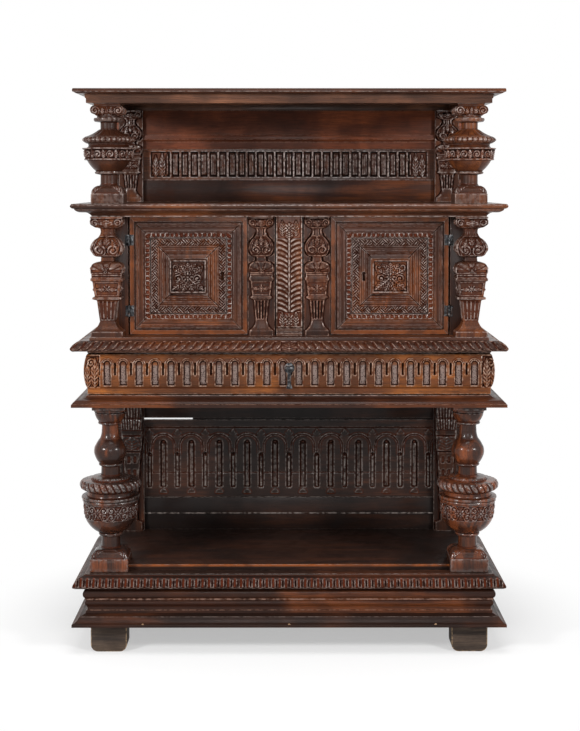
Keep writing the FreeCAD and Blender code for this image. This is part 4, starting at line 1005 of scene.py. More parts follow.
UPPER_TURNING = [
    (0.4, 0.17), (0.38, 0.178, -0.2), (0.32, 0.2), (0.315, 0.288), (0.51, 0.298, 0.3),
    (0.53, 0.318), (0.48, 0.323, 0.1), (0.82, 0.432), (0.93, 0.436), (0.935, 0.446), (0.92, 0.448),
    (0.97, 0.543), (1, 0.545, 0.3), (1, 0.556), (0.83, 0.559, -0.2), (0.76, 0.585, 0.3),
    (0.78, 0.6), (0.86, 0.604, 0.1), (0.995, 0.632, 0.35), (0.99, 0.645, 0.1), (0.9, 0.667),
    (0.88, 0.67, -0.1), (0.36, 0.741), (0.31, 0.746), (0.31, 0.812), (0.52, 0.82, 0.4),
    (0.55, 0.856), (0.44, 0.86), (0.44, 0.89),
]
TURNING_STEP = 1.7
TURNING_SIDES = 224
# How far the gadroons of the lower columns' covers turn over a whole column's height
COVER_TWIST = 40 / 14


def round_places(angle, radius, count):
    """How far each point of a turning is from the middle of its place, of a number of places round it."""
    return (angle / math.tau * count % 1 - 0.5) * math.tau * radius / count


def lobed(angle, count, power=1.0):
    return np.abs(np.cos(count * angle)) ** power


def lower_carving(angle, share, radius):
    """Running rosettes and scrolls round the cup, and gadroons round its cover."""
    along = round_places(angle, radius, 8)
    up = (share - 0.3585) * 468
    near = np.abs(along) - math.tau * radius / 16
    rolls = scroll(near + 10, up - 9, 12, 1.5) + scroll(near + 10, up + 10, 11, 1.4, -1)
    foliage = highest(rosette(along, up, 14, 8), leaf(near, up + 19, 12, 38, 4), rolls)
    band = within(share, 0.316, 0.402, 0.005) * sunk_ground(foliage, 4.4, 3.6)
    lobes = within(share, 0.484, 0.537, 0.008) * (6.5 * lobed(angle + COVER_TWIST * share, 14, 0.55) - 5.5)
    fronds = within(share, 0.5375, 0.5405, 0.002) * (2.4 * lobed(angle, 14) - 1.2)
    ribs = within(share, 0.546, 0.556, 0.003) * (1.2 * lobed(angle, 18) - 1.2)
    return band + lobes + fronds + ribs


def upper_carving(angle, share, radius):
    """Scrolls round the cup, beads round the rim and leaves on the cover."""
    along = round_places(angle, radius, 12)
    up = (share - 0.495) * 277
    rolls = highest(scroll(along + 6, up + 1, 11, 1.5), leaf(along - 11, up + 12, 14, 25, 3))
    band = within(share, 0.453, 0.538, 0.006) * sunk_ground(rolls, 4.4, 3.6)
    beads = within(share, 0.616, 0.662, 0.006) * (3.8 * lobed(angle, 15, 0.7) - 3.2)
    fronds = within(share, 0.676, 0.738, 0.006) * (4 * lobed(angle, 8, 0.7) - 2.8)
    return band + beads + fronds


def carved_turning(node, shares, carve):
    low, high, radius, height = node_sizes(node)
    points = outline(scaled(shares, radius, height), TURNING_STEP, True)
    points = np.vstack([(0, points[0][1]), points, (0, points[-1][1])])
    bm = turned(points, TURNING_SIDES)
    places = get_points(bm)
    far = np.hypot(places[:, 0], places[:, 1])
    angle = np.arctan2(places[:, 1], places[:, 0])
    raised = np.where(far > 1, carve(angle, places[:, 2] / height, far), 0)
    places[:, :2] *= (1 + raised / np.maximum(far, 1))[:, None]
    set_points(bm, places)
    bmesh.ops.translate(bm, vec=(*((low + high) / 2).xy, low.z), verts=bm.verts)
    return bm


def by_side(side, front, right, back, left):
    """The value for each point of a four-sided solid, by the side that it is on."""
    return np.select([side == 0, side == 1, side == 2], [front, right, back], left)


def four_sided(centre, rows, edge, carve, columns):
    """A four-sided carved solid: rows of (half width, half depth, depth of the middle, height), and
    carve(side, along, half, row) for how far a face is raised, side 0 being the front, 1 the right side,
    2 the back and 3 the left side."""
    rows = np.array(rows, float)

    def place(u, row):
        half_x, half_y, back, height = rows[row].T
        side = np.minimum(np.floor(u * 4 + 1e-6), 3).astype(int)
        along = 2 * (u * 4 - side) - 1
        x = by_side(side, along * half_x, half_x, -along * half_x, -half_x)
        y = by_side(side, -half_y, along * half_y, half_y, -along * half_y)
        over_x = np.maximum(np.abs(x) - half_x + edge, 0)
        over_y = np.maximum(np.abs(y) - half_y + edge, 0)
        far = np.hypot(over_x, over_y)
        shrink = np.where(far > edge, edge / np.maximum(far, 1e-6), 1)
        x = np.sign(x) * (np.abs(x) - over_x * (1 - shrink))
        y = np.sign(y) * (np.abs(y) - over_y * (1 - shrink))
        half = np.where(side % 2 == 0, half_x, half_y)
        inner = 1 - rise(np.abs(along) * half, half - edge - 1.5, half - edge * 0.5)
        raised = carve(side, along * half, half, row) * inner
        x = x + by_side(side, 0, raised, 0, -raised)
        y = y + by_side(side, -raised, 0, raised, 0)
        return np.stack([centre[0] + x, centre[1] + back + y, centre[2] + height], 1)

    return skin(4 * columns, len(rows), place)


def square_rows(points):
    """The rows of a square solid, from the (half width, height) points of its outline."""
    return [(out, out, 0, up) for out, up in points]


# Square parts of the turned posts

CAP = [
    (0.6, 0), (0.72, 0.06, -0.2), (0.92, 0.2, 0.35), (1, 0.62, 0.2), (0.86, 0.8), (0.8, 0.82), (0.84, 1),
]
SQUARE_STEP = 1.4


def scrolled_cap(centre, half, level, height):
    """A square cap with a scroll at each corner and three little leaves between them."""
    points = outline(scaled(CAP, half, height), SQUARE_STEP, True)
    heights = points[:, 1]

    def carve(side, along, half_side, row):
        away = np.abs(along)
        up = heights[row]
        rolls = scroll(away - half * 0.71, up - height * 0.42, height * 0.35, 1.5)
        nearest = np.minimum(away, np.abs(away - 12))
        leaves = leaf(nearest, up - height * 0.1, 11, height * 0.6, 3)
        return within(up, height * 0.08, height * 0.78, 2) * (4.4 * highest(rolls, leaves) - 3.6)

    return four_sided((*centre, level), square_rows(points), 2.5, carve, 56)


def cushion(centre, half, top_half, level, height):
    """A square cushion with a leaf laid over each of its corners."""
    points = outline([(half, 0), (half, height * 0.1, 0.34), (top_half, height)], SQUARE_STEP, True)
    shares = points[:, 1] / height

    def carve(side, along, half_side, row):
        from_corner = half_side - np.abs(along)
        share = shares[row]
        edge = 9 + 17 * share
        veins = 0.5 + 0.5 * np.cos(math.tau * (from_corner / 6.5 + 1.6 * share))
        over = 1 - rise(from_corner, edge - 2, edge)
        return (over * (1.4 * veins + 0.8) - 2.2) * within(share, 0.04, 0.94, 0.06)

    return four_sided((*centre, level), square_rows(points), 3, carve, 52)


def post_end(centre, half, low, high, edge=1.5):
    return block((centre.x - half, centre.y - half, low), (centre.x + half, centre.y + half, high), edge, 3)


def lower_columns():
    for name in ("left", "right"):
        node = f"lower_column_{name}"
        low, high, _, height = node_sizes(node)
        middle = (low + high) / 2
        foot_top = low.z + 0.078 * height
        parts = [
            post_end(middle, 53, low.z, foot_top, 2),
            cushion(middle.xy, 52, 32, foot_top, 0.05 * height),
            carved_turning(node, LOWER_TURNING, lower_carving),
            post_end(middle, 46, low.z + 0.966 * height, high.z),
        ]
        keep_timber(joined(parts), node, "_turned", "dark_walnut", grain="z")


def upper_balusters():
    for name in ("left", "right"):
        node = f"upper_baluster_{name}"
        low, high, _, height = node_sizes(node)
        middle = (low + high) / 2
        half = 45
        foot_top = low.z + 0.1 * height
        cap_foot = low.z + 0.872 * height
        parts = [
            post_end(middle, half, low.z, foot_top),
            cushion(middle.xy, half - 1, 27, foot_top, 0.08 * height),
            carved_turning(node, UPPER_TURNING, upper_carving),
            scrolled_cap(middle.xy, half, cap_foot, high.z - cap_foot),
        ]
        keep_timber(joined(parts), node, "_turned", "walnut", grain="z")


# Carved terms

TERM = [
    (0.99, 0), (0.99, 0.042), (0.95, 0.048, -0.2), (0.5, 0.118, -0.08), (0.47, 0.126),
    (0.63, 0.302), (0.7, 0.308), (0.87, 0.314, 0.3), (0.87, 0.331), (0.75, 0.336), (0.88, 0.462),
    (0.98, 0.468, 0.2), (0.98, 0.49), (0.93, 0.494), (0.94, 0.527), (0.98, 0.533, 0.1),
    (1, 0.552, 0.12), (0.965, 0.585, 0.33), (0.6, 0.621), (0.4, 0.627), (0.38, 0.664),
    (0.58, 0.668, 0.32), (0.88, 0.7, 0.2), (1, 0.741, 0.14), (0.86, 0.789, 0.12),
    (0.56, 0.826, -0.15), (0.4, 0.871, -0.1), (0.43, 0.9), (0.6, 0.908, 0.2), (0.86, 0.925, 0.35),
    (1, 0.955, 0.25), (0.94, 0.983), (0.99, 0.986), (0.99, 1),
]
LEAST_DEPTH_SHARE = 0.4
# How wide a term on a pilaster is, as a share of its board
PILASTER_SHARE = 0.95
SHAFT_FLUTES = (-0.62, -0.21, 0.21, 0.62)


def term_carving(along, share, half, height):
    """The carving on a term's face: flutes, stars, leaves, scrolls and a scrolled capital."""
    away = np.abs(along)
    side = along / np.maximum(half, 1)
    up = share * height

    # The shaft, its sunk field with a flower, and the dome over it
    lines = within(share, 0.503, 0.509, 0.003) + within(share, 0.519, 0.525, 0.003)
    flutes = sum(hump(side - place, 0.16) for place in SHAFT_FLUTES) * within(share, 0.145, 0.296, 0.012)
    field = within(share, 0.35, 0.45, 0.004) * (1 - rise(np.abs(side), 0.8, 0.84))
    star_up = up - 0.4 * height
    spray = leaf(star_up + 2, away - 6, 12, 24, 3)
    flower = highest(star(along, star_up, 13), 0.8 * spray)
    dome_up = up - 0.535 * height
    fan = np.arctan2(along, np.maximum(dome_up + 3, 1))
    dome = 4.6 * lobed(fan, 4.5, 0.7) * rise(dome_up, 6, 12) - 4
    bright = star(along, dome_up - 8, 13) * within(share, 0.536, 0.6, 0.006)
    lower = 5 * flower + 6 * bright + dome * within(share, 0.536, 0.617, 0.006)
    lower = lower - 1.6 * lines - 3 * flutes - 2 * field

    # The bulb with its foliage, the neck and the capital
    bulb_up = up - 0.742 * height
    border = hump(away - 0.82 * half, 2.4)
    foliage = highest(
        scroll(away - 0.42 * half, bulb_up + 8, 0.38 * half, 1.5),
        leaf(along, bulb_up - 7, 0.5 * half, 32, 4),
        leaf(away - 0.44 * half, bulb_up + 1, 14, 25, 3),
    )
    inner = 1 - rise(away, 0.72 * half, 0.78 * half)
    bulb = within(share, 0.68, 0.832, 0.01) * (inner * sunk_ground(foliage, 5, 3.8) - 3.2 * border)
    channel = within(share, 0.845, 0.9, 0.01) * hump(away - 0.45 * half, 2.4)
    capital = highest(
        scroll(away - 0.7 * half, up - 0.948 * height, 10.5, 1.4),
        0.9 * leaf(along, up - 0.915 * height, 0.9 * half, 0.06 * height, 3),
    )
    volutes = within(share, 0.912, 0.982, 0.005) * sunk_ground(capital, 4.8, 3.8)
    return lower + bulb - 1.6 * channel + volutes


def term_outline(half, height):
    return outline(scaled(TERM, half, height), CARVING_STEP, True)


def proud(widths, half, depth):
    """How far a term stands out where it has some widths: most where it is widest."""
    return depth * (LEAST_DEPTH_SHARE + (1 - LEAST_DEPTH_SHARE) * widths / half)


def corner_terms():
    for name in ("left", "right"):
        node = f"corner_term_{name}"
        low, high, half, height = node_sizes(node)
        points = term_outline(half, height)
        depths = proud(points[:, 0], half, high.y - low.y)
        rows = np.stack([points[:, 0], depths / 2, -depths / 2, points[:, 1]], 1)

        def carve(side, along, half_side, row):
            raised = term_carving(along, points[row, 1] / height, half_side, height)
            return np.where(side == 2, 0, raised)

        bm = four_sided(((low.x + high.x) / 2, high.y, low.z), rows, 2.5, carve, 48)
        keep_timber(bm, node, "_carved", "walnut", grain="z")


def board_carving(along, share, half, height, depth):
    """A term carved on a board, its outline standing clear of the sunk ground round it."""
    points = term_outline(half, height)
    edge = np.interp(share * height, points[:, 1] + np.arange(len(points)) * 1e-4, points[:, 0])
    away = np.abs(along)
    inside = 1 - rise(away, edge - 2.2, edge + 0.4)
    rounded = np.sqrt(np.clip(1 - (away / np.maximum(edge, 1)) ** 4, 0, 1))
    face = term_carving(along, share, edge, height) * (1 - rise(away, edge - 5, edge - 1.5))
    cut = 3.5 * ridge(away - edge - 2.2, 1.9) * within(share, 0.53, 0.86, 0.02)
    return inside * (proud(edge, half, depth) * (0.45 + 0.55 * rounded) + face) - cut


def carved_pilaster(node, ground_share, kind, step=CARVING_STEP):
    """A pilaster board with a term in relief, its ground at a share of the whole thickness."""
    low, high, half, height = node_sizes(node)
    middle = (low.x + high.x) / 2
    thickness = high.y - low.y
    ground = high.y - thickness * ground_share
    depth = thickness * (1 - ground_share)

    def place(x, z):
        raised = board_carving(x - middle, (z - low.z) / height, half * PILASTER_SHARE, height, depth)
        return np.stack([x, ground - np.minimum(raised, depth), z], 1)

    keep_timber(relief(low, high, place, step), node, "_carved", kind, grain="z")


# The palm leaves between the inner pilasters

PALM_PITCH = 14.1
PALM_DEPTH = 7.5
PALM_STEP = 1.3
PALM_FOOT = 26
FLOWER_HEIGHT = 62


def palm_panel():
    node = "centre_panel"
    low, high, half, height = node_sizes(node)

    def place(x, z):
        up = z - low.z
        side = np.abs(x)
        border = rise(side, half - 3.4, half - 2.2)
        base = 1 - rise(up, PALM_FOOT - 1, PALM_FOOT + 1)
        arch = 15 * np.sin(math.pi / 2 * np.clip(side / (half - 4), 0, 1))
        phase = ((up - arch) / PALM_PITCH) % 1
        leaflet = np.clip(1.4 - np.abs(phase - 0.45) / 0.33, 0, 1)
        leaflet = leaflet * (0.6 + 0.4 * hump(side - half * 0.52, half * 0.5))
        palm = highest(leaflet * rise(side, 2.4, 5), hump(x, 3.2))
        top = up > height - FLOWER_HEIGHT
        foot = up < PALM_FOOT + 40
        flower_up = np.where(top, up - height + 33, up - PALM_FOOT - 20)
        flower = highest(
            rosette(x, flower_up, 17),
            leaf(x, flower_up + 30, 26, 26, 3),
            leaf(side - 19, flower_up + 22, 20, 44, 4),
        )
        carved = np.where(top | foot, flower, palm)
        raised = np.clip(border + (1 - border) * carved, 0, 1.1) * (1 - base) + base
        lines = 1.6 * (within(up, 8, 11, 1.5) + within(up, 20, 23, 1.5))
        return np.stack([x, low.y + PALM_DEPTH * (1.05 - raised) + lines, z], 1)

    def embers(points):
        return 0.5 * rise(points[:, 1] - low.y, 3.5, 6) * (np.abs(points[:, 0]) < half - 2)

    bm = relief(low, high, place, PALM_STEP)
    keep_timber(bm, node, "_carved", "pale_walnut", grain="z", marks={"ember": embers})


# The drawer front

FLUTES = 24
FLUTE_PITCH = 44.1
# The carver's row of flutes starts a little to the right
FLUTE_SHIFT = 4.5
FLUTE_WIDTH = 20.5
FLUTE_FOOT = 23
FLUTE_HEIGHT = 71
DRAWER_STEP = 1.7
# How far the frieze stands out at its foot, and how much farther in its middle
FRIEZE_FOOT = 8
FRIEZE_BULGE = 10
# The flat round place behind the pull: its height over the drawer's foot, its radius and its depth
ROSE_LEVEL = 73
ROSE_RADIUS = 13
ROSE_DEPTH = 3.5


def bulge(up, height):
    """How far the frieze stands out of the posts' plane at a height above its foot."""
    band = 0.16 * height
    share = np.clip((up - band) / (height - band), 0, 1)
    return FRIEZE_FOOT + np.where(up < band, 0, FRIEZE_BULGE * np.sin(math.pi * share) ** 0.6)


def drawer_carving(x, up, height):
    """Punched flutes under arched rims, with dark slots between them, and a leaf at each end."""
    x = x - FLUTE_SHIFT
    last = FLUTES / 2 * FLUTE_PITCH
    over = up - FLUTE_FOOT
    place = repeated(x, FLUTE_PITCH)
    beside = FLUTE_PITCH / 2 - np.abs(place)
    fluted = np.abs(x) < last
    inside = flute(place, over, FLUTE_WIDTH, FLUTE_HEIGHT)
    rim = flute(place, over + 2, FLUTE_WIDTH + 5, FLUTE_HEIGHT + 5)
    arch = np.hypot(place, over - FLUTE_HEIGHT + FLUTE_WIDTH / 2)
    arches = ridge(arch - FLUTE_WIDTH / 2 - 5.5, 1.3) * rise(up, 72, 84)
    slot = hump(beside, 3) * within(up, 54, 87, 4)
    lips = ridge(beside - 5, 1.4) * within(up, 56, 88, 6)
    raised = fluted * (1.3 * rim - 7 * inside - 6.5 * slot + 1.8 * highest(lips, arches))
    near = np.abs(x) - last
    tall = up - 18
    foliage = highest(
        leaf(near - 12, tall, 26, 84, 5),
        leaf(near - 32, tall + 2, 22, 70, 4),
        scroll(near - 22, tall - 70, 12, 1.4),
    )
    ends = rise(near, -1, 1) * within(up, 20, height - 5, 4) * sunk_ground(foliage, 6, 4.5)
    return raised + ends, fluted * inside * (1 - rise(up, 76, 84))


def drawer_front():
    node = "drawer_front"
    low, high, _, height = node_sizes(node)
    reach = high.x - SIDE
    punched = []

    def place(x, z):
        up = z - low.z
        out = bulge(up, height) * reach / (FRIEZE_FOOT + FRIEZE_BULGE)
        wide = x * (SIDE + out) / (SIDE + reach)
        raised, ground = drawer_carving(wide, up, height)
        rose = 1 - rise(np.hypot(wide, up - ROSE_LEVEL), ROSE_RADIUS, ROSE_RADIUS + 2)
        punched.append(ground * (1 - rose))
        out = np.minimum(out + raised * (1 - rose) - ROSE_DEPTH * rose, reach)
        return np.stack([wide, -(FRONT + out), z], 1)

    bm = relief(low, high, place, DRAWER_STEP)
    marks = np.zeros(len(bm.verts))
    marks[: len(punched[0])] = punched[0]
    keep_timber(bm, node, "_carved", "fox_walnut", grain="x", marks={"punched": marks})


# The doors

DOOR_FRAME_SECTION = [
    (0, 22), (12.5, 22), (13.2, 18.5), (15.8, 18.5), (16.6, 28), (17.6, 31, 0.35),
    (20.5, 32.5, 0.2), (25.5, 33.5), (26.5, 31, -0.3), (31, 27.5), (38.5, 28), (39.5, 24.5),
    (43, 24.5), (43.6, 26), (56, 25), (57, 24.5),
]
DOOR_PANEL_SECTION = [
    (104.5, 24), (102.5, 25), (85, 32.5), (84, 34.5, 0.3), (81.5, 34), (80.5, 31.5, -0.3), (73, 34),
    (72, 36, 0.3), (65, 39.5, 0.2), (61, 37), (60, 39), (55, 39.5),
]
PANEL_FLANGE = 112
FLANGE_THICKNESS = 10
DENTIL_PITCH = 13
ZIGZAG_PITCH = 33
ZIGZAG_WIDTH = 16
ZIGZAG_SHIFT = 8
# The slope of a door's panel that is carved, by its distance from the panel's middle
ZIGZAG_BAND = (86, 102.5)
ZIGZAG_MIDDLE = 94
# What lies farther than this from a panel's middle, across or up, is the outer edge of its slopes
PANEL_RIM = 100
FRAME_MITRE = 2.6
PANEL_MITRE = 4
DOOR_STEP = 1.2
PANEL_STEP = 1.3
BLOCK_STEP = 1.1
BLOCK_DEPTH = 10.5
# Where the keyholes are, across from the doors' middles and over them, and half the width of their eyes
KEYHOLES = {"left": 95, "right": -73}
KEYHOLE_LEVEL = 7
KEYHOLE_EYE = 4.2
KEYHOLE_DEPTH = 13


def dentils(along, inset):
    """Little nulls with darts between them."""
    place = repeated(along, DENTIL_PITCH)
    null = flute(place, inset - 44.5, 8.8, 11.5)
    dart = hump(np.abs(place) - DENTIL_PITCH / 2, 1.8) * within(inset, 44.5, 53, 3)
    return within(inset, 43.8, 57, 1) * (1.6 * dart - 3.4 * null)


def mitre(from_end, depth):
    """The worn groove where two lengths meet at a mitre."""
    return -depth * (1 - rise(from_end, 0.2, 2.6))


def zigzag_leaves(along, half):
    """Running zigzag leaves with veins on the slope of a door's panel."""
    across = half - ZIGZAG_MIDDLE
    along = along + ZIGZAG_SHIFT
    share = (along / ZIGZAG_PITCH) % 1
    from_wave = across - (1 - np.abs(2 * share - 1)) * ZIGZAG_WIDTH + ZIGZAG_WIDTH / 2
    veins = lobed(along + np.sign(from_wave) * across, 4 * math.pi / ZIGZAG_PITCH, 0.7)
    leaves = highest(ridge(from_wave, ZIGZAG_WIDTH * 0.14), 0.8 * veins)
    return within(half, *ZIGZAG_BAND, 1.4) * (6 * leaves - 5)


def keyhole(x, z):
    """A keyhole: a round eye over a slot."""
    eye = 1 - rise(np.hypot(x, z), KEYHOLE_EYE, KEYHOLE_EYE + 1)
    slot = (1 - rise(np.abs(x), KEYHOLE_EYE * 0.75, KEYHOLE_EYE)) * within(z, -20, 2, 1)
    return highest(eye, slot)


def quarter_turn(x, z, quarter):
    for _ in range(quarter):
        x, z = z, -x
    return x, z


def door_frame(node):
    low, high, half, _ = node_sizes(node)
    middle = (low + high) / 2
    face = outline(DOOR_FRAME_SECTION, DOOR_STEP, True)
    inner = DOOR_FRAME_SECTION[-1][0]
    rebate = [(inner, 10), (inner - 6, 10), (inner - 6, 0), (0, 0), (0, face[0][1])]
    loop = np.vstack([face, rebate])
    carved = np.arange(len(loop)) < len(face)
    members = []
    for quarter in range(4):

        def place(u, row):
            inset, out = loop[row].T
            reach = half - inset - SEAM
            along = (2 * u - 1) * reach
            worn = mitre(reach - np.abs(along), FRAME_MITRE) * rise(inset, 12, 14)
            out = out + (dentils(along, inset) + worn) * carved[row]
            x, z = quarter_turn(along, half - inset, quarter)
            return np.stack([middle.x + x, high.y - out, middle.z + z], 1)

        members.append(skin(math.ceil(2 * half / CARVING_STEP), len(loop), place))

    def inset_of(points):
        return half - np.maximum(np.abs(points[:, 0] - middle.x), np.abs(points[:, 2] - middle.z))

    def flats(points):
        return 0.75 * (1 - rise(inset_of(points), 12, 13.2))

    def embers(points):
        return 0.7 * within(inset_of(points), 44, 56, 1) * rise(points[:, 1] - high.y, -24.6, -23)

    marks = {"warm": flats, "ember": embers}
    keep_timber(joined(members), node, "_mitred", "walnut", marks=marks)


def door_panel(node, hole_x):
    low, high = node_box(node)
    middle = (low + high) / 2
    section = outline(scaled(DOOR_PANEL_SECTION, -1, 1), PANEL_STEP, True)
    width = 2 * DOOR_PANEL_SECTION[0][0]
    slopes = []
    for quarter in range(4):

        def place(u, row):
            half, out = -section[row, 0], section[row, 1]
            along = (2 * u - 1) * half
            x, z = quarter_turn(along, half, quarter)
            hole = keyhole(x - hole_x, z - KEYHOLE_LEVEL)
            cut = zigzag_leaves(along, half) + mitre(half - np.abs(along), PANEL_MITRE)
            out = out + cut * (1 - hole) - KEYHOLE_DEPTH * hole
            return np.stack([middle.x + x, high.y - out, middle.z + z], 1)

        slopes.append(skin(math.ceil(width / CARVING_STEP), len(section), place, caps=False))
    whole = joined(slopes)
    bmesh.ops.remove_doubles(whole, verts=whole.verts, dist=JOIN)

    def is_outer(edge):
        place = edge.verts[0].co - middle
        return max(abs(place.x), abs(place.z)) > PANEL_RIM

    outer = [edge for edge in boundary(whole) if is_outer(edge)]
    for vert in extruded(bmesh.ops.extrude_edge_only(whole, edges=outer)):
        vert.co.y = high.y - FLANGE_THICKNESS
    bmesh.ops.holes_fill(whole, edges=boundary(whole), sides=0)
    flange = block(
        (middle.x - PANEL_FLANGE, high.y - FLANGE_THICKNESS, middle.z - PANEL_FLANGE),
        (middle.x + PANEL_FLANGE, high.y, middle.z + PANEL_FLANGE),
        0.6,
        1,
    )
    keep_timber(joined([whole, flange]), node, "_stepped", "walnut", grain="z")


def turned_leaf(across, up, degrees, width, length, lobes=3):
    """A leaf on a stalk that is turned clockwise by some degrees."""
    side, along = turn(across, up, -degrees)
    return leaf(side, along, width, length, lobes)


def boss_carving(x, z):
    """A boss of foliage: a crown of leaves, a flower in the middle and scrolls to the lower corners."""
    parts = [1.1 * rosette(x, z + 1, 17)]
    for degrees, width, reach in ((0, 26, 27), (31, 25, 30), (-31, 25, 30), (62, 25, 33), (-62, 25, 33)):
        side, up = turn(x, z + 1, -degrees)
        parts.append(0.88 * leaf(side, up - 13, width, reach, 3))
    for hand in (1, -1):
        parts.append(0.95 * scroll(hand * x - 27, z + 6, 12.5, 1.5))
        parts.append(0.85 * scroll(hand * x - 33, z - 26, 10, 1.4, -1))
        parts.append(0.95 * turned_leaf(hand * x - 8, z + 10, 128, 24, 46, 4))
        parts.append(0.85 * turned_leaf(hand * x - 4, z + 14, 160, 21, 32))
    return np.clip(highest(*parts), 0, 1.1)


def door_block(node):
    low, high, half_x, height = node_sizes(node)
    middle = (low + high) / 2

    def place(x, z):
        across, up = x - middle.x, z - middle.z
        near = np.minimum(half_x - np.abs(across), height / 2 - np.abs(up))
        slope = 6.5 * rise(near, 0, 5) + 1.2 * within(near, 5, 7.5, 1)
        raised = slope + rise(near, 7.5, 9) * (11.5 * boss_carving(across, up) - 6)
        return np.stack([x, low.y + BLOCK_DEPTH - np.clip(raised, -1, BLOCK_DEPTH), z], 1)

    keep_timber(relief(low, high, place, BLOCK_STEP), node, "_carved", "walnut", grain="z")


def doors():
    for name, hole_x in KEYHOLES.items():
        door_frame(f"door_{name}_frame")
        door_panel(f"door_{name}_panel", hole_x)
        door_block(f"door_{name}_block")


# The carved backs

BAR_PITCH = 28.9
BARS = 26
# The leaves at the ends of the row of bars
SPRAY_WIDTH = 46
UPPER_BACK_STEP = 1.8


def upper_back_panel():
    node = "upper_back_panel"
    low, high, _, height = node_sizes(node)
    fluted = BARS / 2 * BAR_PITCH

    def place(x, z):
        up = z - low.z
        spot = np.abs(repeated(x + BAR_PITCH / 2, BAR_PITCH))
        between = spot - BAR_PITCH / 2
        bar = (1 - rise(spot, 6, 7.4)) * (0.86 + 0.14 * np.cos(spot * 1.35))
        bar = bar * within(up, 16, height - 16, 2)
        pattern = highest(bar, hump(between, 3.8), hump(np.hypot(between, up - 62), 6))
        near = np.abs(x) - fluted
        spray = highest(leaf(near - 12, up - 8, 22, 76, 5), leaf(near - 32, up - 8, 22, 70, 4))
        spray = spray * (near < SPRAY_WIDTH)
        carved = np.where(near > 0, spray, pattern * rise(-near, 0, 3))
        ground = within(up, 10, height - 8, 2) * (near < SPRAY_WIDTH)
        ground = ground * (1 - within(near, -1, SPRAY_WIDTH, 0.5) * 0.2)
        raised = ground * sunk_ground(carved, 7.5, 6.5)
        return np.stack([x, low.y - np.minimum(raised, 0), z], 1)

    keep_timber(relief(low, high, place, UPPER_BACK_STEP), node, "_carved", "walnut", grain="x")


ARCH_PITCH = 86
ARCH_LEVEL = 158
ARCADE_HALF = 446
ARCADE_HEAD = 214
# How far the arcade's highest carving stands over its board
ARCADE_PROUD = 1.6


def lower_back_panel():
    node = "lower_back_panel"
    low, high = node_box(node)

    def place(x, z):
        up = z - low.z
        spot = repeated(x, ARCH_PITCH)
        between = ARCH_PITCH / 2 - np.abs(spot)
        over = up - ARCH_LEVEL
        far = np.where(over > 0, np.hypot(spot, over), np.abs(spot))
        band = (ridge(far - 39.5, 1.8) + 0.7 * ridge(far - 33.5, 1.3)) * rise(up, 120, 140)
        tall_flute = flute(spot, up - 31, 19, 147) - 0.75 * hump(spot, 6.5) * within(up, 34, 166, 4)
        short_flute = flute(between, up - 30, 15, 109) - 0.85 * hump(between, 4.6) * within(up, 33, 128, 4)
        dart = np.clip(1 - between / 8, 0, 1) * within(up, 152, 182, 10)
        dome = hump(np.hypot(spot, up - 14), 13) * rise(up, 10, 14)
        key = leaf(between, up - 172, 32, 40, 3)
        raised = 2.2 * band - 5.5 * tall_flute - 5 * short_flute + 2.4 * (dart + dome) + 2.6 * key
        raised = raised * (1 - rise(np.abs(x), ARCADE_HALF, ARCADE_HALF + 4))
        raised = raised * (1 - rise(up, ARCADE_HEAD, ARCADE_HEAD + 4))
        lines = 1.4 * within(up, ARCADE_HEAD, ARCADE_HEAD + 3, 1) + 1.2 * within(up, 76, 77.6, 1)
        sunk = ARCADE_PROUD - np.minimum(raised - lines, ARCADE_PROUD)
        return np.stack([x, low.y + sunk, z], 1)

    keep_timber(relief(low, high, place, COARSE_STEP), node, "_carved", "black_walnut", grain="x")


# The lower pilasters and the consoles over them

# Shares of the height, and of the width that the carving has there
CONSOLE_TAPER = [
    (0, 0.95), (0.06, 0.95), (0.07, 0.5), (0.12, 0.5), (0.54, 0.8), (0.545, 0.9), (0.65, 0.97), (1, 0.97),
]
CONSOLE_FOOT = 0.69
CONSOLE_BOARD = 13
CONSOLE_SHAFT = 12


def lower_pilasters():
    for name in ("left", "right"):
        node = f"lower_pilaster_{name}"
        low, high, half, height = node_sizes(node)
        middle = (low.x + high.x) / 2
        ground = high.y - CONSOLE_BOARD
        depth = ground - low.y
        shares, widths = zip(*CONSOLE_TAPER)

        def place(x, z):
            across = x - middle
            away = np.abs(across)
            share = (z - low.z) / height
            edge = half * 0.94 * np.interp(share, shares, widths)
            inside = 1 - rise(away, edge - 2, edge + 0.5)
            head = np.clip((share - CONSOLE_FOOT) / (1 - CONSOLE_FOOT), 0, 1)
            roll = 0.35 + 0.22 * hump(head - 0.12, 0.14) + 0.65 * head**1.4
            out = np.where(share > CONSOLE_FOOT, depth * np.minimum(roll, 1), CONSOLE_SHAFT)
            veins = 3.4 * lobed(across / (half * (0.2 + 0.12 * head)), math.pi, 0.7) - 3
            bands = -1.5 * (within(share, 0.645, 0.655, 0.004) + within(share, 0.535, 0.545, 0.004))
            cap_leaf = 2.4 * leaf(across, (share - 0.555) * height, half * 1.5, height * 0.09, 3) - 0.8
            squares = -2 * within(away, 4, 14, 2) * within(share * height % 40, 10, 30, 3)
            squares = squares * (share > 0.14) * (share < 0.53)
            face = np.where(share > CONSOLE_FOOT, veins, np.where(share > 0.555, cap_leaf, squares))
            raised = inside * (out + face + bands)
            return np.stack([x, ground - np.clip(raised, 0, depth), z], 1)

        keep_timber(relief(low, high, place, COARSE_STEP), node, "_carved", "black_walnut", grain="z")


# Stage, lights and camera

CAMERA_PLACE = (-0.0073, -4.084, 1.3102)
CAMERA_PITCH = math.radians(2.411)
CAMERA_TURN = math.radians(0.14)
CAMERA_LENS = 69.39
CAMERA_SHIFT = -0.17
FLOOR_HALF = 14
FLOOR_COLOUR = (0.95, 0.95, 0.95)
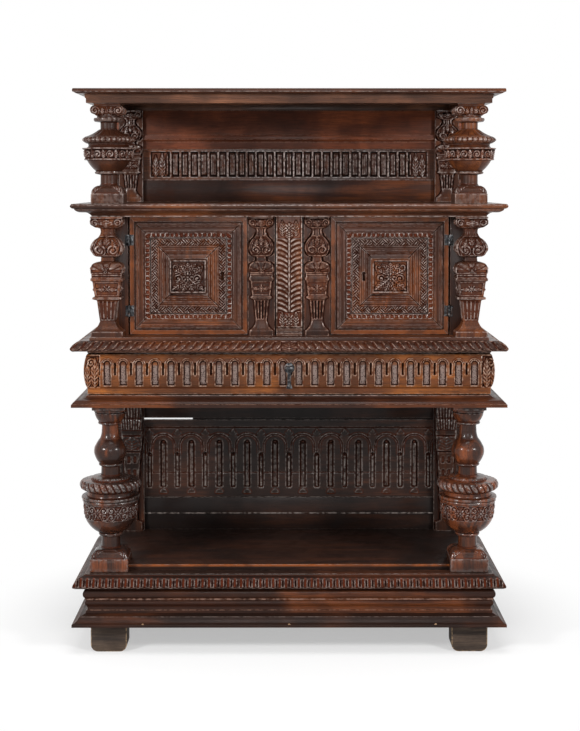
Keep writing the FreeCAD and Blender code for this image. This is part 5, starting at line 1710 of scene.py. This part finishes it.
# Where the floor starts to turn into the plain background, and where it is all background
FLOOR_EDGE = (0.6, 1.05)
LEAST_FLOOR_LIGHT = 0.44
DAYLIGHT = 0.4
LAMPS = [
    ("left_lamp", (-3.1, -3.0, 2.15), 0.62, 118),
    ("right_lamp", (3.1, -3.0, 2.15), 0.62, 104),
    ("top_lamp", (0, -1.9, 4.4), 1.6, 62),
    ("front_lamp", (0, -4.5, 1.55), 1.2, 26),
]
LAMP_AIM = Vector((0, 0, 0.8))


def seen_white(tree):
    """1 for the rays that show a surface to the camera, to a glossy surface or through a clear one."""
    path = add(tree, "LightPath").outputs
    seen = greater(tree, path["Is Camera Ray"], path["Is Glossy Ray"])
    return greater(tree, seen, path["Is Transmission Ray"])


def world():
    made = bpy.data.worlds.new("studio")
    bpy.context.scene.world = made
    made.use_nodes = True
    tree = made.node_tree
    background = tree.nodes["Background"]
    strength = spread(tree, seen_white(tree), DAYLIGHT, 1)
    background.inputs["Color"].default_value = (1, 1, 1, 1)
    tree.links.new(strength, background.inputs["Strength"])


def floor():
    bm = bmesh.new()
    bmesh.ops.create_grid(bm, x_segments=8, y_segments=8, size=FLOOR_HALF)
    mesh = bpy.data.meshes.new("floor")
    bm.to_mesh(mesh)
    bm.free()
    material, tree, shader = new_material("floor")
    shader.inputs["Base Color"].default_value = (*FLOOR_COLOUR, 1)
    shader.inputs["Roughness"].default_value = 0.9
    shader.inputs["Specular IOR Level"].default_value = 0.1
    plain = add(tree, "Emission", {"Color": (1, 1, 1), "Strength": 1})
    place = add(tree, "TexCoord").outputs["Object"]
    far = add(tree, "VectorMath", {0: place}, operation="LENGTH").outputs["Value"]
    share = times(tree, ranged(tree, far, *FLOOR_EDGE, LEAST_FLOOR_LIGHT), seen_white(tree))
    mixed = add(tree, "MixShader", {0: share, 1: shader.outputs[0], 2: plain.outputs[0]})
    tree.links.new(mixed.outputs[0], tree.nodes["Material Output"].inputs["Surface"])
    mesh.materials.append(material)
    made = bpy.data.objects.new("floor", mesh)
    bpy.context.scene.collection.objects.link(made)


def lights():
    for name, place, size, power in LAMPS:
        light = bpy.data.lights.new(name, "AREA")
        light.shape = "SQUARE"
        light.size = size
        light.energy = power
        lamp = bpy.data.objects.new(name, light)
        lamp.location = place
        lamp.rotation_euler = (LAMP_AIM - Vector(place)).to_track_quat("-Z", "Y").to_euler()
        bpy.context.scene.collection.objects.link(lamp)


def camera():
    lens = bpy.data.cameras.new("camera")
    lens.lens = CAMERA_LENS
    lens.shift_y = CAMERA_SHIFT
    made = bpy.data.objects.new("camera", lens)
    made.location = CAMERA_PLACE
    made.rotation_euler = (math.pi / 2 - CAMERA_PITCH, 0, -CAMERA_TURN)
    bpy.context.scene.collection.objects.link(made)
    bpy.context.scene.camera = made
    bpy.context.scene.view_settings.view_transform = "Standard"


# The plain boards, the feet and the iron

EASED = {
    "walnut": ["case_side_left", "case_side_right", "deck_board", "frieze_side_left", "frieze_side_right"],
    "pale_walnut": ["cornice_frieze"],
    # The door posts are in the darker red timber, which paints the shade beside the terms into them
    "red_walnut": ["door_posts"],
    # The centre stile is in the black timber, which paints the slots beside the centre panel with shade
    "black_walnut": ["case_back", "frieze_back", "centre_stile"],
    "drawer_oak": ["drawer_sides", "drawer_back", "drawer_bottom", "drawer_runners", "base_pegs"],
}
FEET = ["foot_front_left", "foot_front_right", "foot_rear_left", "foot_rear_right"]
FORGED = [
    "drop_pull", "pull_staple", "hinge_plates", "hinge_straps_left", "hinge_straps_right",
    "lock_case_left", "lock_case_right", "lock_bolt_left", "lock_bolt_right",
]
RUBBED_EDGE = 4
BEAD_LEVEL = 287
BEAD_PROUD = 3
BEAD_HEIGHT = 5
BEAD_ROUND = 2
QUARTER_BEND = math.tan(math.pi / 8)
FOOT_ROUND = 20
FOOT_HEAD_ROUND = 12
FOOT_EDGE_WEAR = 2.5


def feet():
    """Thick blocks with well rounded ends."""
    for node in FEET:
        low, high = node_box(node)
        left, right, foot, head = low.x, high.x, low.z, high.z
        corners = [
            (left + FOOT_ROUND, foot),
            (right - FOOT_ROUND, foot, QUARTER_BEND),
            (right, foot + FOOT_ROUND),
            (right, head - FOOT_HEAD_ROUND, QUARTER_BEND),
            (right - FOOT_HEAD_ROUND, head),
            (left + FOOT_HEAD_ROUND, head, QUARTER_BEND),
            (left, head - FOOT_HEAD_ROUND),
            (left, foot + FOOT_ROUND, QUARTER_BEND),
            (left + FOOT_ROUND, foot),
        ]
        points = outline(corners, 3)[:-1]
        bm = bmesh.new()
        face = bm.faces.new([bm.verts.new((across, low.y, up)) for across, up in points])
        ends = extruded(bmesh.ops.extrude_face_region(bm, geom=[face], use_keep_orig=True))
        bmesh.ops.translate(bm, vec=(0, high.y - low.y, 0), verts=ends)
        bmesh.ops.recalc_face_normals(bm, faces=bm.faces)
        keep_timber(ease(bm, FOOT_EDGE_WEAR, 3), node, "_rounded", "worn_oak", grain="x", carved=False)


def eased_boards():
    for kind, nodes in EASED.items():
        for node in nodes:
            keep_timber(ease(from_node(node)), node, "_eased", kind, carved=False)


def floor_board():
    """The floor board, rubbed warm along its front edge."""
    node = "floor_board"
    low, high = node_box(node)
    bm = ease(from_node(node))
    for margin in (RUBBED_EDGE, RUBBED_EDGE + MARGIN):
        for place, normal in (((0, low.y + margin, 0), (0, 1, 0)), ((0, 0, high.z - margin), UP)):
            whole = bm.verts[:] + bm.edges[:] + bm.faces[:]
            bmesh.ops.bisect_plane(bm, geom=whole, plane_co=place, plane_no=normal)

    def rubbed(points):
        return (points[:, 1] < low.y + RUBBED_EDGE + 1) & (points[:, 2] > high.z - RUBBED_EDGE - 1)

    keep_timber(bm, node, "_eased", "black_walnut", carved=False, marks={"warm": rubbed})


def upper_back_boards():
    """The two plain boards over and under the fluted one, the lower one in darker timber as painted shade.
    """
    node = "upper_back_boards"
    level = node_box("upper_back_panel")[0].z
    bm = ease(from_node(node))
    lay_grain(bm)
    # The lower board gets the darker timber, which paints shade into it
    for face in bm.faces:
        if face.calc_center_median().z < level:
            face.material_index += len(GRAINS)
    keep(bm, node + "_eased", [node], grains("rosy_walnut") + grains("red_walnut"))


def lower_back_boards():
    """The plain boards round the arcaded one, in a near black timber that paints the shade of the recess
    into them, and a bead along the lowest, painted light as a highlight.
    """
    node = "lower_back_boards"
    front = node_box(node)[0].y
    half = node_box("lower_pilaster_right")[0].x
    low = (-half, front - BEAD_PROUD, BEAD_LEVEL)
    high = (half, front + BEAD_PROUD, BEAD_LEVEL + BEAD_HEIGHT)
    bead = block(low, high, BEAD_ROUND)
    # The whole bead is marked as a crest, which paints a highlight along it
    worn = bead.faces.layers.float.new("crest")
    for face in bead.faces:
        face[worn] = 1
    keep_timber(joined([ease(from_node(node)), bead]), node, "_eased", "shadow_walnut", carved=False)


def forged_irons():
    for node in FORGED:
        keep(ease(from_node(node)), node + "_forged", [node], [IRON])


world()
floor()
lights()
camera()
eased_boards()
floor_board()
plinth_rails()
upper_back_boards()
lower_back_boards()
feet()
forged_irons()
lower_columns()
upper_balusters()
corner_terms()
for name in ("left", "right"):
    carved_pilaster(f"inner_pilaster_{name}", 0.5, "red_walnut")
    carved_pilaster(f"upper_pilaster_{name}", 0.52, "walnut", COARSE_STEP)
lower_pilasters()
palm_panel()
drawer_front()
doors()
upper_back_panel()
lower_back_panel()
nulled_moulding()
deck_moulding()
base_moulding()
moulded_board("waist_board", WAIST_EDGE, "red_walnut")
moulded_board("shelf_board", SHELF_EDGE, "walnut")
moulded_board("top_board", TOP_EDGE, "walnut")
